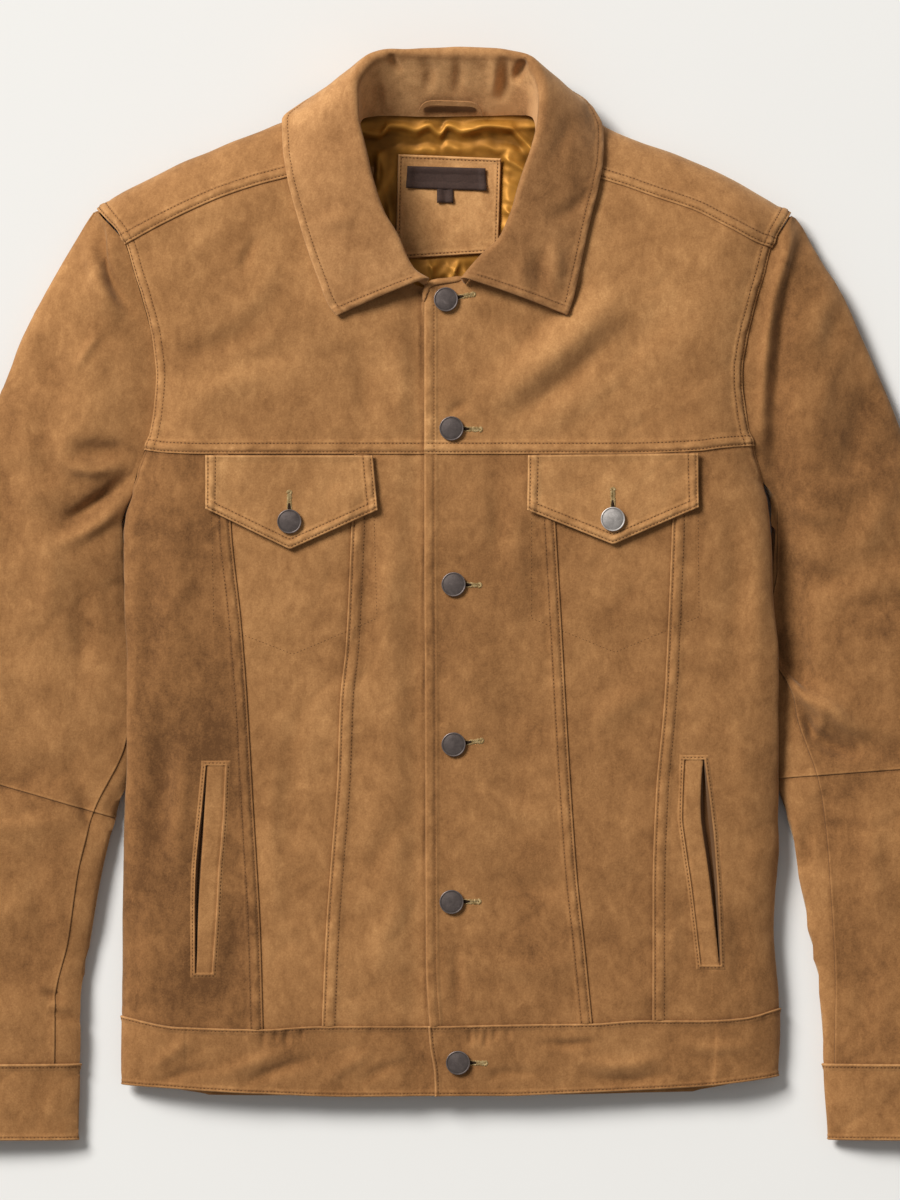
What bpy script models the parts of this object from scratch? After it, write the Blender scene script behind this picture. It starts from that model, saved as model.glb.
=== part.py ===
"""Suede trucker jacket, laid flat on its back with the front closed.

Frame: metres, +Z up, +Y towards the collar, +X to the right as the jacket is seen from above,
the origin on the floor under the middle of the jacket. Sizes below are in millimetres.
Every panel is a wall of cloth over a surface that is worked out from the jacket's sizes.
"""
import math

import bmesh
import bpy
import numpy as np
from mathutils import Vector

MM = 0.001
GAP = 0.3             # between two pieces that meet
SUEDE = 1.4           # wall of the suede panels
COLLAR_WALL = 2.4     # two layers of suede with an interlining
SATIN = 1.0           # wall of the lining
PATCH = 1.2           # suede patch and welts
FLAP_WALL = 1.8
LABEL = 0.8           # woven label and tag
BUTTON_D = 17.0
BUTTON_H = 3.4
SIDE_ROLL = 46.0      # how far in from a side fold the front is still falling
UNDER_ROLL = 60.0     # how far in the back panel lifts off the floor towards its side seam
UNDER_SHAPE = 1.667   # how quickly the back leaves the side fold: 1 is round, more is flatter
SHOULDER_ROLL = 42.0
SHOULDER_UNDER = 30.0
SHOULDER_HEIGHT = 11.0
SHOULDER_SLOPE = 0.92  # turns a distance along Y into one across the sloping shoulder line
OVERLAP = 28.0        # how far the left front runs on under the right front
LAP_DROP = 2.3        # and how much lower it lies there
UNDERARM = {"L": 70.0, "R": 81.0}
BACK_YOKE_SEAM = 165.0

# The body at each height: left and right edge (side fold, then armhole, then shoulder point)
EDGE_L = dict(y=(-352, -332, -296, -255, -213, -144, -124, -42, -17, 41, 56, 70, 88, 102, 128, 155, 181,
                 205, 228, 246, 272),
              x=(-230.5, -231.5, -231, -231, -230, -229, -227.5, -227, -229, -229, -227.5, -223, -218.5,
                 -214, -208, -206, -209, -215, -222, -227.5, -249))
EDGE_R = dict(y=(-352, -336, -307, -284, -266, -236, -213, -177, -70, -33, -17, 7, 42, 68, 81, 104, 130,
                 156, 179, 205, 226, 244, 269),
              x=(231, 231, 232.5, 232, 230, 228, 229, 231, 231, 230, 228, 226, 225, 222, 218, 212, 207,
                 205, 208, 214, 220, 225, 241))
# Height of the front's crown and of the side fold above the floor
CROWN = dict(y=(-352, -302, -215, -100, 0, 100, 200, 260, 300, 345),
             z=(19, 24, 28, 32, 36, 39.5, 40.5, 38, 34, 29))
FOLD = dict(y=(-352, -215, -150, -90, -20, 60, 105, 155, 250, 300),
            z=(8, 9, 14, 22, 24, 22, 21, 21, 19, 17))
# Seams of the front and the shoulder line
CHEST = dict(x=(-214, -200, -173, -105, 55, 119, 174, 189, 212), y=(102, 100, 99, 99, 99, 99, 101, 103, 105))
HEM_SEAM = dict(x=(-232, -191, -131, -93, -14, 35, 101, 133, 175, 205, 232),
                y=(-295, -302.5, -304, -302, -302, -301, -300, -298, -298, -296.5, -290))
HEM = dict(x=(-232, -200, -131, -70, -11, 36, 76, 133, 175, 203, 232),
           y=(-344, -346, -350, -352, -351.5, -351.5, -350, -347.5, -345, -342, -338))
SHOULDER_SEAM = dict(x=(-228, -195, -157, -124, -62, 60, 118, 144, 170, 196, 217, 225),
                     y=(246, 263, 280, 290, 303, 303, 288, 279, 270, 257, 246.5, 244))
SHOULDER = dict(x=(-249, -241, -230, -216, -202, -188, -170, -154, -135, -118, -97, -60, 0, 60, 98, 109,
                   134, 155, 172, 188, 202, 214, 226, 241),
                y=(271, 277, 284, 291, 298, 305, 312, 319, 326, 333, 339, 345, 347, 345, 338, 330, 319, 312,
                   305, 298, 291, 284, 277, 268))
VEE = {"L_out": dict(y=(-304, -234, -145, -73, -20, 48, 100), x=(-131, -133, -138, -142, -146, -153, -155)),
       "L_in": dict(y=(-302, -234, -180, -127, -73, -35, 50, 100), x=(-90, -87, -83, -79, -77, -73, -69, -67)),
       "R_in": dict(y=(-301, -251, -195, -139, -73, -19, 49, 100), x=(100, 95, 89, 85, 81, 78, 74, 71)),
       "R_out": dict(y=(-300, -204, -143, -73, -35, 52, 101), x=(142, 142, 144, 150, 152, 155.5, 157))}
PLACKET = dict(y=(-352, -325, -301, -255, -73, 25, 98, 137, 176, 205, 222),
               x=(-10.5, -11, -14.5, -17, -17.5, -18, -18, -19, -19.5, -21, -18))
NECK_L = dict(t=(0, 0.08, 0.22, 0.36, 0.5, 0.66, 0.84, 1), x=(10, -18, -31, -38, -45, -55, -64, -70),
              y=(213, 215.5, 223, 236, 250, 268, 288, 302.9))
NECK_R = dict(t=(0, 0.18, 0.28, 0.4, 0.52, 0.68, 0.86, 1), x=(-18, 9, 20, 32, 41, 50, 58, 66),
              y=(219, 223, 226, 235, 248, 267, 288, 302.9))

# Broad folds in the cloth of the body: from, to, half width, height
BODY_FOLDS = [dict(x0=122, y0=205, x1=14, y1=128, wide=15, high=2.2),
              dict(x0=165, y0=214, x1=70, y1=112, wide=13, high=-1.6),
              dict(x0=-165, y0=240, x1=-60, y1=140, wide=18, high=1.6),
              dict(x0=-200, y0=150, x1=-95, y1=175, wide=14, high=-1.5),
              dict(x0=-200, y0=-60, x1=-197, y1=-250, wide=11, high=-1.8),
              dict(x0=200, y0=-40, x1=204, y1=-240, wide=12, high=-1.4),
              dict(x0=-40, y0=-40, x1=-52, y1=-250, wide=16, high=1.5),
              dict(x0=45, y0=-60, x1=40, y1=-240, wide=15, high=-1.4)]

# The sleeves, a row for each station from the shoulder point to the cuff's end. Down to the
# underarm a row ends on the armhole at the height `in_y`, and below it on the sleeve's inner fold.
SLEEVE = {
    "L": dict(out_x=(-251, -256, -262, -274, -287, -300, -312, -323, -331, -338, -345, -356, -366, -374,
                     -380.5, -384, -386, -387, -388, -388.5),
              out_y=(269.5, 262, 252, 232, 208, 182, 153, 124, 101, 80, 57, 18, -24, -68, -114, -170, -228,
                     -281, -329, -383),
              in_x=(0, 0, 0, 0, 0, 0, 0, 0, 0, -223, -230.5, -227, -218, -219, -235, -246, -253, -259, -260,
                    -261),
              in_y=(271, 258, 243, 222, 197, 168, 138, 110, 88, 70, 48, -4, -54, -106, -157, -200, -243,
                    -284, -329, -383)),
    "R": dict(out_x=(243, 248, 255, 265, 277, 289, 301, 310, 317, 324, 331, 342, 353, 363, 371.5, 376.5, 381,
                     384, 385, 385),
              out_y=(265.5, 259, 246, 229, 208, 183, 156, 135, 117, 99, 77, 40, -5, -58, -118, -165, -225,
                     -280, -329, -383),
              in_x=(0, 0, 0, 0, 0, 0, 0, 0, 0, 218, 225.5, 224, 215, 214, 229, 240, 250, 260, 262, 266),
              in_y=(267, 255, 241, 220, 195, 168, 140, 116, 97, 81, 60, 18, -32, -82, -129, -168, -226,
                    -281, -329, -383))}
SLEEVE_TOP = (14, 21, 26, 30, 31.5, 31.5, 31, 30, 28, 26, 24, 22.5, 21.5, 21, 20.5, 20, 19.5, 19, 18.5, 17)
SLEEVE_OUT = (10.5, 10.5, 10.5, 10, 10, 10, 10, 10, 9.5, 9.5, 9.5, 9, 9, 9, 9, 8.5, 8.5, 8.5, 8.5, 8.5)
SLEEVE_IN = (0, 0, 0, 0, 0, 0, 0, 0, 0, 0, 16, 8.5, 7.5, 7.5, 8, 8, 8, 8, 8, 8)
UNDERARM_ROW, ELBOW_ROW, CUFF_ROW, END_ROW = 9, 14, 18, 19
# Heights on the body's edge that every panel meeting there shares: side seam, then armhole
SIDE_LEVELS = {"L": (-295, -250, -205, -160, -122, -86, -50, -15, 15, 38, 55, 70, 80, 90, 102),
               "R": (-290, -248, -205, -160, -122, -86, -50, -12, 20, 45, 64, 81, 88, 96, 104.5)}
ARM_LEVELS = {"L": (102, 118, 134, 150, 165, 182, 198, 214, 230, 246, 256, 265, 271),
              "R": (104.5, 120, 135, 150, 165, 181, 197, 213, 229, 244, 253, 261, 267)}
SEAM_LEVEL, SHOULDER_LEVEL = 4, 9      # in ARM_LEVELS: the back yoke's seam, the front yoke's top
# Where the seam runs on the top of the sleeve, as a share of its width from the outer fold
TOP_SEAM = dict(row=(9, 12, 13, 14, 15, 16, 17, 18), L=(1, 1, 0.945, 0.897, 0.888, 0.889, 0.86, 0.863),
                R=(1, 0.95, 0.815, 0.8, 0.825, 0.86, 0.915, 0.935))
UNDER_SEAM = 0.14     # the sleeve's second seam, on its underside
SLEEVE_UNDER = 18.0   # how far in from a fold the sleeve's underside is still lifted
SLEEVE_SOFT = 14.0    # the creases fade out over this distance to a fold
SLEEVE_FOLDS = {"L": [dict(x0=-322, y0=70, x1=-238, y1=38, wide=11, high=-2.6),
                      dict(x0=-312, y0=108, x1=-235, y1=90, wide=10, high=2.2),
                      dict(x0=-262, y0=205, x1=-226, y1=150, wide=9, high=-2.2),
                      dict(x0=-355, y0=-40, x1=-262, y1=-70, wide=14, high=1.6),
                      dict(x0=-372, y0=-118, x1=-262, y1=-126, wide=11, high=-1.8),
                      dict(x0=-375, y0=-285, x1=-300, y1=-300, wide=9, high=1.5)],
                "R": [dict(x0=336, y0=40, x1=250, y1=5, wide=12, high=-2.6),
                      dict(x0=320, y0=92, x1=240, y1=60, wide=11, high=2.2),
                      dict(x0=232, y0=-53, x1=296, y1=-98, wide=9, high=2.4),
                      dict(x0=234, y0=-36, x1=262, y1=-66, wide=8, high=-2.2),
                      dict(x0=262, y0=-100, x1=345, y1=-112, wide=10, high=-2.0),
                      dict(x0=276, y0=200, x1=240, y1=150, wide=10, high=-1.6)]}

# Collar sections from the left front round the back to the right front: the neck seam, the roll
# (its crest) and the outer edge. A leaf height of 0 lays the edge on the front of the jacket.
COLLAR = [dict(neck=(-17, 219, 41.5), roll=(-15, 222, 49), edge=(-79, 195.6, 0)),
          dict(neck=(-27, 226, 41.5), roll=(-25, 228, 50), edge=(-85, 203, 0)),
          dict(neck=(-33, 237, 41.5), roll=(-31, 238, 51), edge=(-92, 221, 0)),
          dict(neck=(-39, 251, 41), roll=(-36, 251, 52), edge=(-100, 243, 0)),
          dict(neck=(-49, 268, 40.5), roll=(-46, 268, 53), edge=(-107, 266, 0)),
          dict(neck=(-57, 290, 38), roll=(-54, 290, 54), edge=(-113.5, 291, 0)),
          dict(neck=(-61, 312, 33), roll=(-60, 314, 54), edge=(-117.5, 315, 0)),
          dict(neck=(-63, 328, 25), roll=(-65.5, 338, 52), edge=(-118, 333, 25)),
          dict(neck=(-61, 335, 16), roll=(-66.5, 356, 49), edge=(-109, 341, 17)),
          dict(neck=(-55, 337, 11), roll=(-62, 369, 46), edge=(-90, 353, 10)),
          dict(neck=(-45, 338, 9.5), roll=(-52, 379, 43), edge=(-66, 362, 5)),
          dict(neck=(-28, 337.5, 9), roll=(-35, 382.5, 40), edge=(-40, 356, 2.2)),
          dict(neck=(0, 337, 9), roll=(0, 382.5, 38), edge=(0, 354, 1.5)),
          dict(neck=(28, 337.5, 9), roll=(35, 381.5, 40), edge=(38, 355, 2.2)),
          dict(neck=(43, 338, 9.5), roll=(53, 377, 43), edge=(63, 361, 5)),
          dict(neck=(53, 338, 11), roll=(62, 366, 46), edge=(86, 353, 10)),
          dict(neck=(58, 336, 16), roll=(65, 350, 49), edge=(102, 341, 17)),
          dict(neck=(60, 328, 25), roll=(63.5, 333, 52), edge=(108, 326, 24)),
          dict(neck=(57, 310, 33), roll=(58, 313, 54), edge=(107.5, 306, 0)),
          dict(neck=(51, 289, 38), roll=(49.5, 290, 54), edge=(104, 286, 0)),
          dict(neck=(45, 267, 40.5), roll=(43, 267, 53), edge=(99, 265, 0)),
          dict(neck=(37, 250, 41.5), roll=(35, 249, 52), edge=(94, 243, 0)),
          dict(neck=(27, 239, 42), roll=(24, 239, 51), edge=(89.5, 221, 0)),
          dict(neck=(16, 228, 42), roll=(14, 229, 50), edge=(85.5, 204, 0)),
          dict(neck=(9, 219, 42), roll=(8, 222, 49), edge=(82, 196, 0))]
ROLL_RADIUS = 4.2
STAND_END, TURN_END = 0.35, 0.6        # shares of a section: the stand, then the roll, then the leaf
LEAF_BULGE = 2.2
LEAF_LIFT = 1.4                        # under the leaf's edge, where it lies on the front

# Things on the panels: corners in plan
FLAPS = {"L": dict(top=(-171, 98, -54, 98), bottom=(-171, 61, -112, 32.5, -50.5, 60)),
         "R": dict(top=(54.5, 98, 173.5, 99.5), bottom=(54, 60, 114, 36, 174, 62))}
WELTS = {"L": dict(upper=(-171.5, -119.5, -158, -120), lower=(-180, -266, -166, -267)),
         "R": dict(upper=(163.5, -114, 176.5, -113.5), lower=(175, -261.5, 187, -261))}
WELT_BOW = {"L": 0.0, "R": -4.0}
PATCH_CORNERS = (-38.5, 237, 34, 241.5, 36, 308, -36.5, 311)   # lower left, then anticlockwise
LABEL_CORNERS = (-31, 285, 26, 283, 25, 299, -30, 300.6)
TAG_CORNERS = (-9, 275, 2, 275, 2, 282.6, -9, 283.0)
LINING_CORNERS = (-88, 190, 88, 190, 59, 333, -60, 333)
LOOP_HALF, LOOP_WIDE, LOOP_START, LOOP_RISE = 23.0, 4.0, 2.0, 10.0
SECTION_STEP, STAND_HEIGHT = 31.0, 52.0     # of the collar at the middle of the back
BUTTONS = {"button_front_1": (-3, 207), "button_front_2": (1, 117), "button_front_3": (2.5, 8),
           "button_front_4": (2.5, -104), "button_front_5": (1, -214.5), "button_front_6": (5.6, -327.5),
           "button_flap_L": (-112.3, 52), "button_flap_R": (113.8, 53.5)}

COLOURS = {"suede": ((0.43, 0.22, 0.085), 0.92, 0.0), "suede_dark": ((0.36, 0.17, 0.06), 0.92, 0.0),
           "satin": ((0.58, 0.36, 0.11), 0.38, 0.0), "woven": ((0.035, 0.022, 0.016), 0.8, 0.0),
           "metal": ((0.11, 0.085, 0.06), 0.42, 0.9)}


# ---------------------------------------------------------------- curves and surfaces
def smooth(t, knots, values):
    """Read a table as a smooth curve that doesn't overshoot its values."""
    knots, values = np.asarray(knots, float), np.asarray(values, float)
    step = np.diff(knots)
    slope = np.diff(values) / step
    before, after = slope[:-1], slope[1:]
    rate = np.concatenate([slope[:1], np.zeros(len(before)), slope[-1:]])
    same = before * after > 0
    rate[1:-1][same] = 2 * before[same] * after[same] / (before[same] + after[same])
    t = np.clip(t, knots[0], knots[-1])
    i = np.clip(np.searchsorted(knots, t, side="right") - 1, 0, len(knots) - 2)
    f = (t - knots[i]) / step[i]
    return (values[i] * (1 + 2 * f) * (1 - f) ** 2 + rate[i] * step[i] * f * (1 - f) ** 2
            + values[i + 1] * f * f * (3 - 2 * f) - rate[i + 1] * step[i] * f * f * (1 - f))


def look(table, t, key="x", by="y"):
    return smooth(t, table[by], table[key])


def mix(a, b, t):
    return a + (b - a) * t


def ease(t):
    t = np.clip(t, 0, 1)
    return t * t * (3 - 2 * t)


def dome(t, power=2.0):
    """Rises from 0, where it is upright, to 1, where it is level."""
    return (1 - (1 - np.clip(t, 0, 1)) ** power) ** (1 / power)


def fold_sum(x, y, folds):
    """Height added by a table of straight folds with soft ends."""
    total = np.zeros(np.broadcast(x, y).shape)
    for f in folds:
        length = math.hypot(f["x1"] - f["x0"], f["y1"] - f["y0"])
        ux, uy = (f["x1"] - f["x0"]) / length, (f["y1"] - f["y0"]) / length
        along = ((x - f["x0"]) * ux + (y - f["y0"]) * uy) / length
        across = ((y - f["y0"]) * ux - (x - f["x0"]) * uy) / f["wide"]
        ends = ease(np.clip(along + 0.15, 0, 1) / 0.45) * ease(np.clip(1.15 - along, 0, 1) / 0.45)
        total = total + f["high"] * np.exp(-across ** 2) * ends
    return total


def edge_x(side, y):
    return look(EDGE_L if side == "L" else EDGE_R, y)


def side_angle(side, y):
    """Angle round the side fold, in degrees, where the front ends: at its side seam or armhole."""
    return smooth(y - UNDERARM[side], (-45, 0, 34), (-35, 0, 25))


def front_fold_x(side, y):
    inward = 1 if side == "L" else -1
    above = np.radians(np.clip(side_angle(side, y), 0, 90))
    return edge_x(side, y) - inward * SIDE_ROLL * (1 - np.cos(above))


def to_shoulder(x, y):
    """Distance in from the shoulder fold."""
    return SHOULDER_SLOPE * (look(SHOULDER, x, "y", "x") - y)


def front_z(x, y, under=False):
    """Height of the front's outer face; `under` is the left front's, which runs below the right's."""
    crown = look(CROWN, y, "z") + fold_sum(x, y, BODY_FOLDS)
    fold = look(FOLD, y, "z")
    left = 1 - dome((x - front_fold_x("L", y)) / SIDE_ROLL)
    right = 1 - dome((front_fold_x("R", y) - x) / SIDE_ROLL)
    z = crown - (crown - fold) * (left + right)
    shoulder = dome(to_shoulder(x, y) / SHOULDER_ROLL)
    z = SHOULDER_HEIGHT + (z - SHOULDER_HEIGHT) * shoulder
    if under:
        z = z - LAP_DROP * ease((x + 38) / 15)
    return z


def front_side(side, y, angle):
    """Point round the side fold: 90 where the roll starts on the front, 0 at the fold, -90 below."""
    inward = 1 if side == "L" else -1
    top = np.radians(np.clip(angle, 0, 90))
    low = np.radians(np.clip(-angle, 0, 90))
    x_top = front_fold_x(side, y) + inward * SIDE_ROLL * (1 - np.cos(top))
    crown = look(CROWN, y, "z") + fold_sum(x_top, y, BODY_FOLDS)
    fold = look(FOLD, y, "z")
    z_top = fold + (crown - fold) * np.sin(top)
    x_low = edge_x(side, y) + inward * UNDER_ROLL * (1 - np.cos(low) ** UNDER_SHAPE)
    z_low = fold * (1 - np.sin(low) ** UNDER_SHAPE)
    return np.where(angle >= 0, x_top, x_low), np.where(angle >= 0, z_top, z_low)


def back_lift(side, y):
    """How high the back panel's side edge is: at the side seam, or on the floor up the armhole."""
    return look(FOLD, y, "z") * ease(1 - (y - UNDERARM[side]) / 36)


def sleeve_row(side, row):
    """Outer and inner ends of a sleeve's row, in plan."""
    table = SLEEVE[side]
    rows = np.arange(len(SLEEVE_TOP))
    ox, oy = smooth(row, rows, table["out_x"]), smooth(row, rows, table["out_y"])
    iy = smooth(row, rows, table["in_y"])
    low = rows >= UNDERARM_ROW
    fold_x = smooth(row, rows[low], np.asarray(table["in_x"], float)[low])
    ix = np.where(row <= UNDERARM_ROW, edge_x(side, iy), fold_x)
    return ox, oy, ix, iy


def sleeve_point(side, row, share, top=True):
    """Point on the sleeve, `share` of its width from the outer fold."""
    rows = np.arange(len(SLEEVE_TOP))
    ox, oy, ix, iy = sleeve_row(side, row)
    width = np.hypot(ix - ox, iy - oy)
    x, y = mix(ox, ix, share), mix(oy, iy, share)
    out_z = smooth(row, rows, SLEEVE_OUT)
    low = rows >= UNDERARM_ROW
    heights = np.asarray(SLEEVE_IN, float)[low]
    heights[0] = look(FOLD, UNDERARM[side], "z")
    fold_z = smooth(row, rows[low], heights)
    if top:
        in_z = np.where(row <= UNDERARM_ROW, front_z(ix, iy), fold_z)
        rise = smooth(row, rows, SLEEVE_TOP) - (out_z + in_z) / 2
        tube = ease((row - UNDERARM_ROW + 1.2) / 2.2)
        outer = dome(2 * share, 2.2)
        inner = mix(1 - ease(2 * share - 1), dome(2 - 2 * share, 1.9), tube)
        bump = np.where(share < 0.5, outer, inner)
        inside = np.clip(np.minimum(share, 1 - share) * width / SLEEVE_SOFT, 0, 1)
        z = mix(out_z, in_z, ease(share)) + rise * bump + fold_sum(x, y, SLEEVE_FOLDS[side]) * inside
    else:
        in_z = np.where(row <= UNDERARM_ROW, back_lift(side, iy), fold_z)
        z = (out_z * (1 - dome(share * width / SLEEVE_UNDER))
             + in_z * (1 - dome((1 - share) * width / SLEEVE_UNDER)))
    return x, y, z


def collar_point(s, t):
    """Point of the collar's outer face: s runs from the neck seam over the roll to the edge."""
    k = np.arange(len(COLLAR))
    neck = np.stack([smooth(t, k, [c["neck"][i] for c in COLLAR]) for i in range(3)], -1)
    roll = np.stack([smooth(t, k, [c["roll"][i] for c in COLLAR]) for i in range(3)], -1)
    edge_xyz = [list(c["edge"]) for c in COLLAR]
    for e in edge_xyz:
        if e[2] == 0:
            e[2] = float(front_z(e[0], e[1])) + COLLAR_WALL + LEAF_LIFT
    edge = np.stack([smooth(t, k, [e[i] for e in edge_xyz]) for i in range(3)], -1)

    def unit(v):
        return v / np.linalg.norm(v, axis=-1, keepdims=True)

    def across(v, w):
        return unit(-(v - (v * w).sum(-1, keepdims=True) * w))

    a, b = unit(neck - roll), unit(edge - roll)
    crest = -unit(a + b)
    centre = roll - ROLL_RADIUS * crest
    a, b = unit(neck - centre), unit(edge - centre)
    start, end = across(b, a), across(a, b)
    s = s[..., None]
    stand = mix(neck, centre + ROLL_RADIUS * start, np.clip(s / STAND_END, 0, 1))
    f = np.clip((s - STAND_END) / (TURN_END - STAND_END), 0, 1)
    way = np.where(f < 0.5, mix(start, crest, 2 * f), mix(crest, end, 2 * f - 1))
    turn = centre + ROLL_RADIUS * unit(way)
    g = np.clip((s - TURN_END) / (1 - TURN_END), 0, 1)
    leaf = mix(centre + ROLL_RADIUS * end, edge, g) + end * LEAF_BULGE * np.sin(math.pi * g)
    return np.where(s < STAND_END, stand, np.where(s < TURN_END, turn, leaf))


# ---------------------------------------------------------------- meshes
def steps(start, *stops):
    """Grid positions from start through each (end, count)."""
    out = [start]
    for end, count in stops:
        out += list(np.linspace(out[-1], end, count + 1)[1:])
    return np.array(out)


def surface(point, us, vs):
    """Points and outward normals of point(u, v) over a grid."""
    u, v = np.meshgrid(us, vs, indexing="ij")
    d = 1e-3

    def at(a, b):
        p = point(np.clip(a, us[0], us[-1]), np.clip(b, vs[0], vs[-1]))
        return np.stack(np.broadcast_arrays(*p), -1) if isinstance(p, tuple) else p

    normal = np.cross(at(u + d, v) - at(u - d, v), at(u, v + d) - at(u, v - d))
    return at(u, v), normal / np.linalg.norm(normal, axis=-1, keepdims=True)


def inset(points, sides):
    """Draw the named edges of a grid of points in by half a gap."""
    p = points.copy()
    for name, here, beside in (("u0", (0,), (1,)), ("u1", (-1,), (-2,)),
                               ("v0", (slice(None), 0), (slice(None), 1)),
                               ("v1", (slice(None), -1), (slice(None), -2))):
        if name in sides:
            way = points[beside] - points[here]
            p[here] += way / np.linalg.norm(way, axis=-1, keepdims=True) * GAP / 2
    return p


def material(name):
    found = bpy.data.materials.get(name)
    if found:
        return found
    colour, rough, metal = COLOURS[name]
    mat = bpy.data.materials.new(name)
    mat.use_nodes = True
    shader = mat.node_tree.nodes["Principled BSDF"]
    shader.inputs["Base Color"].default_value = (*colour, 1)
    shader.inputs["Roughness"].default_value = rough
    shader.inputs["Metallic"].default_value = metal
    mat.diffuse_color = (*colour, 1)
    return mat


def place(name, bm, mat, smooth_angle=50):
    mesh = bpy.data.meshes.new(name)
    bm.to_mesh(mesh)
    bm.free()
    mesh.shade_smooth()
    mesh.set_sharp_from_angle(angle=math.radians(smooth_angle))
    mesh.materials.append(material(mat))
    obj = bpy.data.objects.new(name, mesh)
    PARTS.objects.link(obj)
    return obj


def cloth(name, point, us, vs, wall, mat, sides="u0 u1 v0 v1", lift=0.0, flip=False):
    """A wall of cloth: a grid laid on point(u, v), with the wall's thickness on its inner side."""
    if flip:
        us, point = 1 - us[::-1], (lambda u, v, run=point: run(1 - u, v))
    points, normals = surface(point, us, vs)
    outer = (inset(points, sides.split()) + normals * lift) * MM
    inner = outer - normals * wall * MM
    across, along = len(us) - 1, len(vs) - 1
    bm = bmesh.new()
    bmesh.ops.create_grid(bm, x_segments=across, y_segments=along, size=0.5)
    inner_verts = set(bm.verts)
    bmesh.ops.extrude_face_region(bm, geom=bm.faces[:], use_keep_orig=True)
    for v in bm.verts:
        i, j = round((v.co.x + 0.5) * across), round((v.co.y + 0.5) * along)
        v.co = inner[i, j] if v in inner_verts else outer[i, j]
    bmesh.ops.recalc_face_normals(bm, faces=bm.faces[:])
    bmesh.ops.triangulate(bm, faces=bm.faces[:])
    return place(name, bm, mat)


# ---------------------------------------------------------------- the panels of the front
def level(table, side, v):
    """Read a table of shared heights by row number."""
    values = table[side]
    return np.interp(v, np.arange(len(values)), values)


def chest_y(x):
    return look(CHEST, x, "y", "x")


def hem_seam_y(x):
    return look(HEM_SEAM, x, "y", "x")


def hem_y(x):
    return look(HEM, x, "y", "x")


def front_edge(side):
    """Free front edge: the right front's shows, and the left front runs on below it."""
    return lambda y: look(PLACKET, y) + (OVERLAP if side == "L" else 0)


def between(x_low, x_high, under=False):
    """Patch of the front between two upright seams, from the hem seam to the chest seam."""
    def point(u, v):
        y = mix(-300.0, 100.0, v)
        for _ in range(3):
            x = mix(x_low(y), x_high(y), u)
            y = mix(hem_seam_y(x), chest_y(x), v)
        return x, y, front_z(x, y, under)
    return point


def front_side_point(side, seam_x):
    """Patch from the outer upright seam out and round the fold to the side seam or armhole."""
    inward = 1 if side == "L" else -1
    low_y, high_y = SIDE_LEVELS[side][0], SIDE_LEVELS[side][-1]

    def point(u, v):
        y_edge = level(SIDE_LEVELS, side, v)
        share = (y_edge - low_y) / (high_y - low_y)
        flat, y = u <= 0.35, y_edge
        for _ in range(3):
            angle = mix(90, side_angle(side, y_edge), np.clip((u - 0.35) / 0.65, 0, 1))
            x_roll, z_roll = front_side(side, y, angle)
            x_flat = mix(seam_x(y), front_fold_x(side, y) + inward * SIDE_ROLL, np.clip(u / 0.35, 0, 1))
            x = np.where(flat, x_flat, x_roll)
            y = np.where(u < 1, mix(hem_seam_y(x), chest_y(x), share), y_edge)
        return x, y, np.where(flat, front_z(x_flat, y), front_side(side, y, angle)[1])
    return point


def front_yoke_point(side):
    """Chest yoke: chest seam, armhole, shoulder seam, then the neckline and the front edge."""
    neck = NECK_L if side == "L" else NECK_R
    front_x = float(front_edge(side)(98.0))
    rows, corner = SHOULDER_LEVEL, 5.0
    arm = ARM_LEVELS[side]
    outer = [(float(edge_x(side, arm[k])), arm[k]) for k in (0, rows)]
    inner = [(front_x, float(chest_y(front_x))), (neck["x"][-1], neck["y"][-1])]

    def point(u, v):
        arm_y = level(ARM_LEVELS, side, v)
        share = v / rows
        rise, t = v / corner, np.clip((v - corner) / (rows - corner), 0, 1)
        in_x = np.where(v < corner, mix(front_x, neck["x"][0], rise), smooth(t, neck["t"], neck["x"]))
        in_y = np.where(v < corner, mix(inner[0][1], neck["y"][0], rise), smooth(t, neck["t"], neck["y"]))
        low_x, top_x = mix(outer[0][0], front_x, u), mix(outer[1][0], inner[1][0], u)
        low_y, top_y = chest_y(low_x), look(SHOULDER_SEAM, top_x, "y", "x")
        x = mix(edge_x(side, arm_y), in_x, u)
        y = mix(arm_y, in_y, u) + mix(low_y, top_y, share) - mix(
            mix(outer[0][1], inner[0][1], u), mix(outer[1][1], inner[1][1], u), share)
        return x, y, front_z(x, y, side == "L")
    return point


def hem_point(side):
    """Hem band of one front, from its side seam to the front edge."""
    inward = 1 if side == "L" else -1
    top, low = SIDE_LEVELS[side][0], float(hem_y(edge_x(side, -345.0)))

    def point(u, v):
        y_edge = mix(low, top, v)
        angle = mix(side_angle(side, y_edge), 90.0, np.clip(u / 0.5, 0, 1))
        x_roll, z_roll = front_side(side, y_edge, angle)
        start = front_fold_x(side, y_edge) + inward * SIDE_ROLL
        x_flat = mix(start, front_edge(side)(y_edge), np.clip((u - 0.5) / 0.5, 0, 1))
        x = np.where(u < 0.5, x_roll, x_flat)
        y = mix(hem_y(x), hem_seam_y(x), v)
        return x, y, np.where(u < 0.5, z_roll, front_z(x, y, side == "L"))
    return point


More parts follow.
